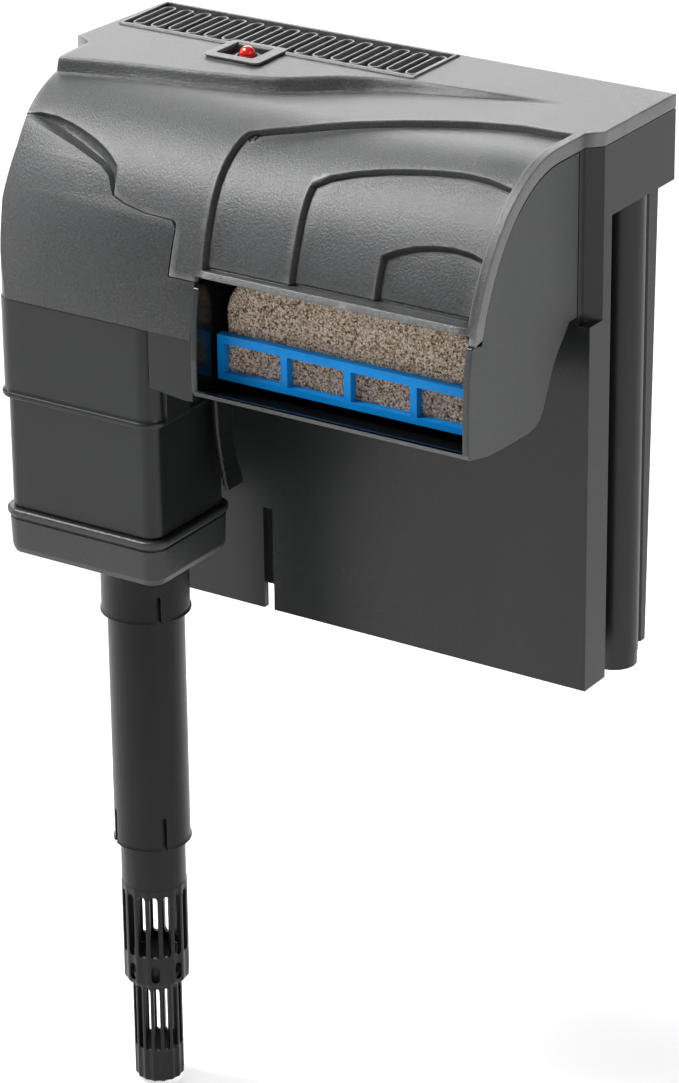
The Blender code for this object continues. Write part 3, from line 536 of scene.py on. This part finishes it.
def lid_height(points):
    """How far the lid's outer face stands above its base surface: crease, panels, leaf, vent, flare, edge."""
    x, t = points.T
    crease, stretch = crease_line(x)
    step = np.interp((t - crease) / stretch, *np.array(CREASE_RAMP).T)
    fade = np.clip((CREASE_END_X - x) / (CREASE_END_X - CREASE_FULL_X), 0, 1)
    height = -CREASE_DEEP * step * fade * (1 - smooth_step((t - 84.0) / 46.0))
    for panel in PANELS:
        height -= PANEL_DEEP * np.interp(inside_distance(points, panel), *np.array(STEP_RAMP).T)
    height -= LEAF_DEEP * np.interp(inside_distance(points, LEAF), *np.array(LEAF_RAMP).T)
    vent = rectangle(VENT_LEFT, REAR_Y - VENT_REAR_Y, VENT_RIGHT, REAR_Y - VENT_FRONT_Y)
    height += FRAME_HIGH * np.interp(inside_distance(points, vent), *np.array(FRAME_RAMP).T)
    rims = np.zeros(len(points))
    for number in range(SLOTS):
        distance = inside_distance(points, slot_outline(number))
        rims = np.maximum(rims, np.interp(distance, *np.array(RIM_RAMP).T))
    height += RIM_HIGH * rims
    flare = smooth_step((t - 151.8) / 3.2) * smooth_step((x + 9.5) / 4) * smooth_step((102.0 - x) / 4)
    height += LIP_FLARE * flare
    return height + np.interp(inside_distance(points, LID_OUTLINE), *np.array(EDGE_RAMP).T)


def skirt_distance(points):
    """Distance to the parts of the outline that have a skirt below them."""
    nearest = np.full(len(points), 1e9)
    outline = ((-100.8, 109.5),) + LEFT_SIDE[4:] + LID_OUTLINE[:4]
    for (x0, t0), (x1, t1) in zip(outline, outline[1:]):
        nearest = np.minimum(nearest, side_distance(points, x0, t0, x1, t1))
    return nearest


def divided(line, closed, longest=LINE_STEP):
    """A line's points, with more between those that are further apart than longest."""
    line = [tuple(point) for point in line]
    points = []
    for (x0, t0), (x1, t1) in zip(line, line[1:] + line[:1] if closed else line[1:]):
        count = max(1, math.ceil(math.hypot(x1 - x0, t1 - t0) / longest))
        points += [(x0 + (x1 - x0) * i / count, t0 + (t1 - t0) * i / count) for i in range(count)]
    return points if closed else points + line[-1:]


def make_lid(material):
    """The lid as a triangulated sheet with its ridges drawn in, and a matching sheet under it."""
    lines = []
    for distance, _ in EDGE_RAMP + ((WALL, 0), (WALL + 0.15, 0)):
        lines.append((moved_in(LID_OUTLINE, distance), True))
    for panel in PANELS:
        lines += [(moved_in(panel, distance), True) for distance, _ in STEP_RAMP]
    lines += [(moved_in(LEAF, distance), True) for distance, _ in LEAF_RAMP]
    vent = rectangle(VENT_LEFT, REAR_Y - VENT_REAR_Y, VENT_RIGHT, REAR_Y - VENT_FRONT_Y)
    lines += [(moved_in(vent, distance), True) for distance, _ in FRAME_RAMP]
    holes = [slot_outline(number) for number in range(SLOTS)]
    for hole in holes:
        lines += [(moved_in(hole, distance), True) for distance, _ in RIM_RAMP]
    pocket = rectangle(LED_X - 10.6, REAR_Y - LED_Y - 8.7, LED_X + 9.1, REAR_Y - LED_Y + 9.0)
    holes.append(pocket)
    lines.append((np.array(pocket), True))
    across = np.arange(-118.0, 119.0, ACROSS_STEP)
    crease, stretch = crease_line(across)
    for distance, _ in CREASE_RAMP:
        lines.append((np.stack([across, crease + distance * stretch], 1), False))
    points, edges = [], []
    for line, closed in lines:
        line = divided(line, closed)
        first = len(points)
        points += [Vector(point) for point in line]
        edges += [(first + i, first + i + 1) for i in range(len(line) - 1)]
        if closed:
            edges.append((len(points) - 1, first))
    for x in np.arange(-115.5, 112, ACROSS_STEP):
        points += [Vector((x + 0.01 * t, t)) for t in np.arange(1.3, LIP_T, LINE_STEP)]
    found, _, faces, *_ = delaunay_2d_cdt(points, edges, [], 0, 1e-4)
    flat = np.array([tuple(point) for point in found])
    middles = np.array([flat[list(face)].mean(0) for face in faces])
    kept = inside_distance(middles, LID_OUTLINE) > 0
    for hole in holes:
        kept &= inside_distance(middles, hole) < 0
    faces = [face for face, keep in zip(faces, kept) if keep]
    used = sorted({corner for face in faces for corner in face})
    number = {old: new for new, old in enumerate(used)}
    flat = flat[used]
    top = lid_height(flat)
    under = np.minimum(-WALL, top - 1.1)
    under = np.where(skirt_distance(flat) < WALL + 0.05, -LID_DEEP, under)
    made = bmesh.new()
    upper = [made.verts.new(point) for point in place_on_lid(flat, top)]
    lower = [made.verts.new(point) for point in place_on_lid(flat, under)]
    sides = {}
    for face in faces:
        corners = [number[corner] for corner in face]
        made.faces.new([upper[i] for i in corners])
        made.faces.new([lower[i] for i in reversed(corners)])
        for a, b in zip(corners, corners[1:] + corners[:1]):
            sides[frozenset((a, b))] = None if frozenset((a, b)) in sides else (a, b)
    for side in filter(None, sides.values()):
        a, b = side
        made.faces.new((upper[b], upper[a], lower[a], lower[b]))
    return add_piece("lid_shell", made, material, "lid", ["lid"])


# --- lofted shapes ------------------------------------------------------------------------
def round_box_ring(box, inset, radius, corner=7, edge=8):
    """A rectangle (x0, y0, x1, y1) moved inwards, with round corners and points along its sides."""
    x0, y0, x1, y1 = box[0] + inset, box[1] + inset, box[2] - inset, box[3] - inset
    radius = max(radius - inset, 0.6)
    arcs = []
    for x, y, start in (
        (x1 - radius, y0 + radius, -90), (x1 - radius, y1 - radius, 0),
        (x0 + radius, y1 - radius, 90), (x0 + radius, y0 + radius, 180),
    ):
        angles = [math.radians(start + 90 * step / corner) for step in range(corner + 1)]
        arcs.append([(x + radius * math.cos(a), y + radius * math.sin(a)) for a in angles])
    ring = []
    for arc, after in zip(arcs, arcs[1:] + arcs[:1]):
        (xa, ya), (xb, yb) = arc[-1], after[0]
        ring += arc + [(xa + (xb - xa) * i / edge, ya + (yb - ya) * i / edge) for i in range(1, edge)]
    return np.array(ring)


def circle_like(ring, x, y, radius):
    """A circle with one point in the direction of each point of a ring."""
    angles = np.arctan2(ring[:, 1] - y, ring[:, 0] - x)
    return np.stack([x + radius * np.cos(angles), y + radius * np.sin(angles)], 1)


def circle(x, y, radius, steps):
    angles = np.linspace(0, 2 * math.pi, steps, endpoint=False)
    return np.stack([x + radius * np.cos(angles), y + radius * np.sin(angles)], 1)


def raised(ring, z):
    return np.column_stack([ring, np.full(len(ring), z)])


def softened(loops, reach=0.5, closed=True):
    """The same loops with each corner along the loft rounded by a small arc."""
    made = []
    count = len(loops)
    for number, ring in enumerate(loops):
        if not closed and number in (0, count - 1):
            made.append(ring)
            continue
        ends = []
        for other in (loops[number - 1], loops[(number + 1) % count]):
            step = other - ring
            length = np.linalg.norm(step, axis=1, keepdims=True)
            ends.append(ring + step * np.minimum(reach / np.maximum(length, 1e-6), 0.42))
        for s in (0, 0.33, 0.67, 1):
            made.append((1 - s) ** 2 * ends[0] + 2 * s * (1 - s) * ring + s * s * ends[1])
    return made


def lofted(made, loops, closed=True):
    """Skins loops of 3-D points. A closed loft joins its last loop to its first; an open one is capped."""
    rows = [[made.verts.new(point) for point in loop] for loop in loops]
    for first, second in zip(rows, rows[1:] + rows[:1] if closed else rows[1:]):
        for i in range(len(first)):
            after = (i + 1) % len(first)
            made.faces.new((first[i], first[after], second[after], second[i]))
    if not closed:
        made.faces.new(rows[0][::-1])
        made.faces.new(rows[-1])


def bevelled(made, width, segments=2):
    """Rounds every edge that turns by more than 30 degrees."""
    edges = [edge for edge in made.edges if edge.calc_face_angle(0) > math.radians(30.0)]
    bmesh.ops.bevel(
        made, geom=edges, offset=width, offset_type="OFFSET", segments=segments, profile=0.5,
        affect="EDGES", clamp_overlap=True,
    )


def walled(made, front, back, faces):
    """Closes two matching sheets of points: their faces, and walls along every free side."""
    sides = {}
    for face in faces:
        made.faces.new([front[i] for i in face])
        made.faces.new([back[i] for i in reversed(face)])
        for a, b in zip(face, face[1:] + face[:1]):
            key = frozenset((a, b))
            sides[key] = None if key in sides else (a, b)
    for a, b in filter(None, sides.values()):
        made.faces.new((front[b], front[a], back[a], back[b]))


# --- pipes with slots ---------------------------------------------------------------------
def slotted_pipe(made, rings, slots, count, first, flute=(0.0, 0.0, 0.0), ribs=5):
    """A pipe about the intake's axis. rings are (z, outer, inner) from the top. Each slot is (low, high, width,
    step, start): every step-th of the count places, from start, is cut. flute is (depth, low, high) of the hollows
    that run in line with the places."""
    pitch = 2 * math.pi / count
    half = max(slot[2] for slot in slots) / 2 / rings[0][1]
    shares = [-half, -half * 0.45, half * 0.45] + [half + (pitch - 2 * half) * k / ribs for k in range(ribs)]
    heights = {ring[0] for ring in rings} | set(np.arange(flute[1], flute[2], 2.5))
    for low, high, width, _, _ in slots:
        heights |= {low, high, low + width * 0.45, high - width * 0.45}
    heights = sorted((z for z in heights if rings[-1][0] <= z <= rings[0][0]), reverse=True)
    heights = [z for i, z in enumerate(heights) if i == 0 or heights[i - 1] - z > 0.02]
    levels = np.array(rings)[::-1]
    outer, inner = (np.interp(heights, levels[:, 0], levels[:, i]) for i in (1, 2))
    front, back = [], []
    for column in range(count * len(shares)):
        place, share = column // len(shares), shares[column % len(shares)]
        for row, z in enumerate(heights):
            angle, height = math.radians(first) + place * pitch + share, z
            off = min(share, pitch - share) if share > 0 else -share
            hollow = flute[0] * math.cos(math.pi * min(off / pitch, 0.5)) ** 2
            hollow *= min(1.0, max(0.0, min(z - flute[1], flute[2] - z) / 1.2))
            for low, high, width, step, start in slots:
                corner = off > half * 0.99 and off < half * 1.01
                place_near = place if share < half * 1.01 else place + 1
                if corner and (place_near - start) % step == 0 and min(abs(z - low), abs(z - high)) < 1e-6:
                    angle -= math.copysign(half * 0.25, share if share < half * 1.01 else -1)
                    height += width * 0.14 * (1 if abs(z - low) < 1e-6 else -1)
            for points, radius in ((front, outer[row] - hollow), (back, inner[row])):
                points.append(made.verts.new((
                    TUBE_X + radius * math.cos(angle), TUBE_Y + radius * math.sin(angle), height,
                )))
    rows, faces = len(heights), []
    for column in range(count * len(shares)):
        place, number = column // len(shares), column % len(shares)
        after = (column + 1) % (count * len(shares))
        for row in range(rows - 1):
            middle = 0.5 * (heights[row] + heights[row + 1])
            cut = number < 3 and any(
                low < middle < high and (place - start) % step == 0 for low, high, _, step, start in slots
            )
            if not cut:
                here, there = column * rows + row, after * rows + row
                faces.append([here, here + 1, there + 1, there])
    walled(made, front, back, faces)


def make_intake(material):
    """The intake tube with its split end, and the two slotted strainers that slide in it."""
    tube = bmesh.new()
    rings = [(CAP_Z - 1.6, TUBE_R - 0.4, 13.0), (CAP_Z - 2.0, TUBE_R, 13.0), (COLLAR_Z - 1, TUBE_R, 13.0)]
    rings += [(TUBE_Z + 19.0, TUBE_R, 13.0), (TUBE_Z + 1.5, TUBE_R, 13.0), (TUBE_Z + 0.9, TUBE_R + 0.5, 13.0)]
    rings += [(TUBE_Z + 0.3, TUBE_R + 0.5, 13.0), (TUBE_Z, TUBE_R + 0.1, 13.2)]
    slotted_pipe(tube, rings, [(TUBE_Z - 1, TUBE_Z + 14.0, 2.2, 4, 0)], 16, SPLIT_TURN)
    add_piece("tube_shell", tube, material, "intake", ["intake_tube"])
    upper = bmesh.new()
    rings = [(TUBE_Z + 26.0, 12.1, 10.7), (TUBE_Z + 25.6, 12.4, 10.7), (-243.2, 12.4, 10.7), (-243.9, 12.62, 10.7)]
    rings += [(UPPER_NECK_Z, 12.7, 10.7), (UPPER_LOW_Z + 1.4, 12.7, 10.7)]
    rings += [(UPPER_LOW_Z + 0.6, 12.6, 10.7), (UPPER_LOW_Z, 12.2, 10.9)]
    slots = [(-273.5, -247.0, 3.1, 1, 0), (-284.0, -277.0, 3.1, 2, 0)]
    slotted_pipe(upper, rings, slots, 16, SLOT_TURN, (0.5, UPPER_LOW_Z - 0.5, UPPER_NECK_Z + 0.2))
    add_piece("upper_strainer_shell", upper, material, "strainer", ["strainer_upper"], 35)
    lower = bmesh.new()
    rings = [(LOWER_TOP_Z, 9.2, 7.9), (LOWER_TOP_Z - 0.4, 9.5, 7.9), (-286.6, 9.5, 7.9), (-287.2, 9.6, 7.9)]
    rings += [(LOWER_LOW_Z + 0.9, 9.6, 7.9), (LOWER_LOW_Z + 0.3, 9.5, 7.9), (LOWER_LOW_Z, 9.3, 8.1)]
    slots = [(-316.0, -288.6, 2.3, 1, 0)]
    slotted_pipe(lower, rings, slots, 16, SLOT_TURN, (0.6, -330.5, -286.4))
    add_piece("lower_strainer_shell", lower, material, "tip", ["strainer_lower"], 35)


# --- pump unit ----------------------------------------------------------------------------
PUMP_BOX = (PUMP_LEFT, FRONT_Y, PUMP_RIGHT, PUMP_REAR)


def box_loop(inset, z, radius=7.0):
    return raised(round_box_ring(PUMP_BOX, inset, radius), z)


def make_pump(textured, dark, smooth):
    """The sleeve with its bracket and flap, and the pump's housing, cap and collar under it."""
    base = round_box_ring(PUMP_BOX, 0.0, 7.0)

    def round_loop(x, y, radius, z):
        return raised(circle_like(base, x, y, radius), z)

    sleeve = bmesh.new()
    loops = [box_loop(0.0, SHELL_Z - GAP), box_loop(0.0, SLEEVE_Z + 3.4), box_loop(-0.3, SLEEVE_Z + 2.4)]
    loops += [box_loop(-0.95, SLEEVE_Z + 1.7), box_loop(-0.95, SLEEVE_Z + 0.5), box_loop(-0.5, SLEEVE_Z)]
    loops += [box_loop(WALL, SLEEVE_Z), box_loop(WALL, SHELL_Z - GAP)]
    lofted(sleeve, softened(loops, 0.35))
    add_piece("sleeve_shell", sleeve, smooth, "housing", ["pump_bay_sleeve"], 50)
    bracket = bmesh.new()
    outline = [(PUMP_RIGHT - 1.2, SHELL_Z - GAP), (BAY_X - GAP, SHELL_Z - GAP), (BAY_X - GAP, -31.4)]
    outline += [(-12.5, -31.9), (PUMP_RIGHT + 1.0, -30.3), (PUMP_RIGHT - 1.2, -30.0)]
    lofted(bracket, [[(x, y, z) for x, z in outline] for y in (FRONT_Y + 0.3, FRONT_Y + 22.0)], closed=False)
    bevelled(bracket, 0.5)
    add_piece("sleeve_bracket", bracket, smooth, "housing")
    flap = bmesh.new()
    outline = [(PUMP_RIGHT - 0.3, -28.0), (PUMP_RIGHT + 2.1, -28.0), (PUMP_RIGHT + 1.9, -44.5)]
    outline += [(PUMP_RIGHT + 1.2, -46.2), (PUMP_RIGHT - 0.3, -46.2)]
    lofted(flap, [[(x, y, z) for x, z in outline] for y in (FRONT_Y + 6.5, FRONT_Y + 21.0)], closed=False)
    bevelled(flap, 0.35)
    add_piece("sleeve_flap", flap, smooth, "housing")
    housing = bmesh.new()
    top = SLEEVE_Z - GAP
    loops = [box_loop(3.9, HOUSING_Z + GAP), box_loop(1.5, HOUSING_Z + GAP), box_loop(1.5, top)]
    loops += [round_loop(RISER_X, RISER_Y, 7.0, top), round_loop(RISER_X, RISER_Y, 7.0, SLEEVE_Z + 22.0)]
    loops += [round_loop(RISER_X, RISER_Y, 5.4, SLEEVE_Z + 22.0), round_loop(RISER_X, RISER_Y, 5.4, top - 2.4)]
    loops += [box_loop(3.9, top - 2.4)]
    lofted(housing, softened(loops, 0.7))
    add_piece("housing_shell", housing, smooth, "pump", ["pump_housing"], 50)
    cap = bmesh.new()
    loops = [box_loop(2.5, HOUSING_Z), box_loop(-0.3, HOUSING_Z), box_loop(-0.95, HOUSING_Z - 0.6)]
    loops += [box_loop(-0.95, HOUSING_Z - 2.2), box_loop(-0.3, HOUSING_Z - 2.9), box_loop(0.5, HOUSING_Z - 3.0)]
    loops += [box_loop(0.5, HOUSING_Z - 3.9), box_loop(0.0, HOUSING_Z - 4.2), box_loop(0.5, CAP_Z + 3.2)]
    loops += [box_loop(1.3, CAP_Z + 0.9), box_loop(3.2, CAP_Z), round_loop(TUBE_X, TUBE_Y, 15.6, CAP_Z)]
    loops += [round_loop(TUBE_X, TUBE_Y, 11.0, CAP_Z), round_loop(TUBE_X, TUBE_Y, 11.0, CAP_Z + WALL)]
    loops += [box_loop(2.5, CAP_Z + WALL)]
    lofted(cap, softened(loops, 0.3))
    add_piece("cap_shell", cap, textured, "pump", ["pump_base_cap"], 50)
    collar = bmesh.new()
    rings = [(CAP_Z + 0.2, 16.9, 14.8), (CAP_Z - 0.5, 16.6, 14.8), (COLLAR_Z + 1.7, 16.6, 14.8)]
    rings += [(COLLAR_Z + 1.0, 17.1, 14.8), (COLLAR_Z + 0.3, 17.1, 14.8), (COLLAR_Z, 16.7, 15.0)]
    slotted_pipe(collar, rings, [(COLLAR_Z - 1, COLLAR_Z + 11.0, 2.0, 16, 0)], 16, SPLIT_TURN - 1)
    add_piece("collar_shell", collar, dark, "pump")


def make_latch(material):
    """A slender lever that curves out to a ridged thumb grip."""
    middles = [(-24.3, -38.2), (-24.4, -46.0), (-24.5, -54.0), (-24.3, -61.0), (-23.6, -67.5), (-22.3, -73.5)]
    middles += [(-20.6, -78.6), (-19.8, -80.8)]
    widths = [12.0, 11.6, 10.6, 9.8, 9.6, 10.2, 11.0, 10.0]
    thicknesses = [2.2, 2.2, 2.2, 2.2, 2.1, 2.0, 1.9, 1.1]
    spots = np.linspace(0, len(middles) - 1, 36)
    x, z = (np.interp(spots, range(len(middles)), [point[i] for point in middles]) for i in (0, 1))
    width = np.interp(spots, range(len(middles)), widths)
    thick = np.interp(spots, range(len(middles)), thicknesses)
    for _ in range(3):
        x[1:-1] = 0.25 * x[:-2] + 0.5 * x[1:-1] + 0.25 * x[2:]
    along = np.stack([np.gradient(x), np.gradient(z)], 1)
    along /= np.hypot(*along.T)[:, None]
    made = bmesh.new()
    loops = []
    for i in range(len(x)):
        half_thick, half_wide = thick[i] / 2, width[i] / 2
        section = round_box_ring((-half_thick, -half_wide, half_thick, half_wide), 0, 0.8, corner=4, edge=4)
        across = np.array([-along[i, 1], along[i, 0]])
        ridge = 0.0
        if GRIP_LOW_Z < z[i] < GRIP_TOP_Z:
            ridge = 0.55 * max(0.0, math.sin((GRIP_TOP_Z - z[i]) / RIDGE_PITCH * 2 * math.pi))
        out = section[:, :1] + ridge * (section[:, :1] > 0)
        place_y = LATCH_Y + section[:, 1:]
        loops.append(np.column_stack([x[i] + out * across[0], place_y, z[i] + out * across[1]]))
    lofted(made, loops, closed=False)
    add_piece("latch_lever", made, material, "latch", ["release_latch"], 50)


# --- spillway: grid, pad, floss -----------------------------------------------------------
def make_grid(material):
    """The diffuser's grid: a frame with three dividers, so four cells."""
    x_lines = [GRID_LEFT, GRID_LEFT + 2.6]
    for divider in (22.9, 49.6, 76.9):
        x_lines += [divider - 1.4, divider + 1.4]
    x_lines += [GRID_RIGHT - 2.6, GRID_RIGHT]
    z_lines = [GRID_LOW, GRID_LOW + 2.6, GRID_TOP - 3.2, GRID_TOP]
    made = bmesh.new()
    front, back = (
        [made.verts.new((x, y, z)) for x in x_lines for z in z_lines]
        for y in (GRID_FRONT, GRID_FRONT + GRID_DEEP)
    )
    faces = []
    for column in range(len(x_lines) - 1):
        for row in range(3):
            if column % 2 and row == 1:
                continue
            first = column * 4 + row
            faces.append([first, first + 4, first + 5, first + 1])
    walled(made, front, back, faces)
    bevelled(made, 0.7, 3)
    add_piece("spill_grid", made, material, "diffuser", ["diffuser_grid"], 40)


def soft_block(name, box, radius, bulge, material, body, replaced):
    """A block of fibre (x0, x1, y0, y1, z0, z1): lumpy, with round upper and square lower corners."""
    x0, x1, y0, y1, z0, z1 = box
    ring = round_box_ring((x0, z0, x1, z1), 0, radius, corner=10, edge=2)
    low_ring = round_box_ring((x0, z0, x1, z1), 0, 2.0, corner=10, edge=2)
    ring = np.where(low_ring[:, 1:] < 0.5 * (z0 + z1), low_ring, ring)
    fine = []
    for a, b in zip(ring, np.roll(ring, -1, axis=0)):
        count = max(1, math.ceil(np.hypot(*(b - a)) / 1.3))
        fine += [a + (b - a) * i / count for i in range(count)]
    ring = np.array(fine)
    centre = np.array([(x0 + x1) / 2, (z0 + z1) / 2])
    reach = min(x1 - x0, z1 - z0) / 2
    loops = []

    def inner(amount):
        """The ring drawn in towards the line along the block's middle."""
        half_line = (x1 - x0) / 2 - reach
        on_line = np.clip(ring[:, 0], centre[0] - half_line, centre[0] + half_line)
        return ring + (np.stack([on_line, np.full(len(ring), centre[1])], 1) - ring) * amount

    def drawn_in(amounts, y):
        for amount in amounts:
            points = inner(amount)
            loops.append(np.column_stack([points[:, 0], np.full(len(ring), y), points[:, 1]]))

    drawn_in(np.linspace(0.97, 0.07, 15), y0)
    for y in np.arange(y0 + 0.6, y1 - 0.3, 1.3):
        loops.append(np.column_stack([ring[:, 0], np.full(len(ring), y), ring[:, 1]]))
    drawn_in(np.linspace(0.07, 0.97, 15), y1)
    made = bmesh.new()
    lofted(made, loops, closed=False)
    bmesh.ops.recalc_face_normals(made, faces=made.faces)
    made.normal_update()
    for vert in made.verts:
        rough = noise.noise(vert.co * 0.55) * 0.55 + noise.noise(vert.co * 0.13 + Vector((9, 3, 5))) * 0.8
        vert.co -= vert.normal * bulge * (0.75 - rough)
    piece = add_piece(name, made, material, body, replaced, 180)


# --- indicator ----------------------------------------------------------------------------
def make_indicator(plastic, red):
    """The raised square bezel on the lid and the domed lens in it."""
    box = (LED_X - 10.2, LED_Y - 8.6, LED_X + 8.7, LED_Y + 8.3)
    wide = (LED_X - 12.3, LED_Y - 11.4, LED_X + 12.1, LED_Y + 9.8)
    base = round_box_ring(box, 0.0, 1.6)

    def loop(inset, z):
        return raised(round_box_ring(box, inset, 1.6), z)

    made = bmesh.new()
    loops = [loop(0, TOP_Z - 3.2), loop(0, TOP_Z + GAP)]
    loops += [raised(round_box_ring(wide, inset, 2.4), z) for inset, z in ((0.2, TOP_Z + GAP), (0, TOP_Z + 1.3))]
    loops += [loop(1.2, TOP_Z + 1.45), loop(1.9, TOP_Z + 0.6), loop(2.1, TOP_Z - 1.5)]
    loops += [raised(circle_like(base, LED_X, LED_Y, radius), z) for radius, z in (
        (5.2, TOP_Z - 1.5), (4.7, TOP_Z - 0.4), (3.9, TOP_Z - 0.4), (3.6, TOP_Z - 0.9), (3.6, TOP_Z - 3.2),
    )]
    lofted(made, softened(loops, 0.28))
    add_piece("indicator_bezel", made, plastic, "lid", ["led_bezel"], 50)
    lens = bmesh.new()
    loops = [raised(circle(LED_X, LED_Y, 3.0, 48), z) for z in (TOP_Z - 6.0, TOP_Z + 0.4)]
    for angle in range(10, 90, 10):
        ring = circle(LED_X, LED_Y, 3.0 * math.cos(math.radians(angle)), 48)
        loops.append(raised(ring, TOP_Z + 0.4 + 2.75 * math.sin(math.radians(angle))))
    lofted(lens, loops, closed=False)
    add_piece("indicator_lens", lens, red, "lid", ["led_lens"], 50)


EDGE_WIDTH, EDGE_ANGLE, FLAT_ANGLE = 0.4, 32.0, 1.5


def refined(node, material, body, even=True):
    """A CAD node's shape with merged faces and rounded edges. It stands for that node."""
    source = frame["nodes"][node]
    made = bmesh.new()
    made.from_mesh(source.data)
    bmesh.ops.remove_doubles(made, verts=made.verts, dist=0.00002)
    bmesh.ops.scale(made, verts=made.verts, vec=(1 / MM,) * 3)
    bmesh.ops.dissolve_limit(
        made, angle_limit=math.radians(FLAT_ANGLE), verts=made.verts, edges=made.edges, use_dissolve_boundaries=False
    )
    edges = [
        edge for edge in made.edges
        if len(edge.link_faces) == 2 and edge.calc_face_angle() > math.radians(EDGE_ANGLE)
        and edge.calc_length() > EDGE_WIDTH * 1.2
    ]
    bmesh.ops.bevel(
        made, geom=edges, offset=EDGE_WIDTH, offset_type="OFFSET", segments=2, profile=0.5,
        affect="EDGES", clamp_overlap=True, miter_outer="ARC", harden_normals=False,
    )
    return add_piece(node + "_finished", made, material, body, [node], even=even)


def paint_shade_inside(trough, material):
    """The spillway's inner faces, its upward faces and the front rim of its left wall get a darker, glossier black
    than its outside: the gloss is a smoother finish, the darkness is painted shade.
    """
    trough.data.materials.append(material)
    for face in trough.data.polygons:
        x, _, _ = face.center / MM
        left = face.normal.x > 0.5 and x < 0
        right = face.normal.x < -0.5 and x > 90
        edge = face.normal.y < -0.5 and x < -6
        if left or right or edge or face.normal.z > 0.3:
            face.material_index = 1


def paint(node, material):
    """A better material on a CAD node whose shape stays."""
    data = frame["nodes"][node].data
    data.materials.clear()
    data.materials.append(material)


make_camera()
make_studio()
materials = make_materials()
textured, smooth = materials["textured_black"], materials["smooth_black"]
make_lid(textured)
make_intake(materials["tube_black"])
make_pump(materials["cap_black"], materials["tube_black"], smooth)
make_latch(smooth)
make_grid(materials["blue_plastic"])
soft_block(
    "spill_pad",
    (GRID_LEFT + 1.6, GRID_RIGHT - 0.5, GRID_FRONT + GRID_DEEP - 0.4, -26.0, GRID_LOW + 1.0, 13.0), 13.0, 0.7,
    materials["tan_pad"], "diffuser", ["coarse_pad"],
)
soft_block(
    "cartridge_fill", (-1.5, 90.5, 23.4, 32.9, -127.5, 31.0), 2.5, 0.5,
    materials["white_floss"], "cartridge", ["cartridge_floss"],
)
make_indicator(textured, materials["red_lens"])
BODIES = frame["record"]["behaviour"]["bodies"]
BODY_OF = {node: body for body, nodes in BODIES.items() for node in nodes}
for node, name in (
    ("filter_body", "smooth_black"), ("spillway_trough", "textured_black"), ("intake_bay_shell", "textured_black"),
):
    finish_name = "textured_body" if name == "textured_black" else name
    refined(node, materials[finish_name], BODY_OF[node], even=node != "intake_bay_shell")
# Painted shade: the spillway's inner faces get the darker black.
paint_shade_inside(bpy.data.objects["spillway_trough_finished"], materials["gloss_black_painted_shade"])
for node, name in (
    ("base_gasket", "rubber_black"), ("riser_seal", "rubber_black"), ("riser_pipe", "smooth_black"),
    ("impeller_cover", "smooth_black"), ("impeller", "blue_plastic"), ("motor_stator", "dark_iron"),
    ("rotor_magnet", "magnet_grey"), ("impeller_shaft", "ceramic_white"), ("upper_bushing", "rubber_black"),
    ("lower_bushing", "rubber_black"), ("led_board", "green_board"), ("cartridge_frame", "blue_plastic"),
):
    paint(node, materials[name])
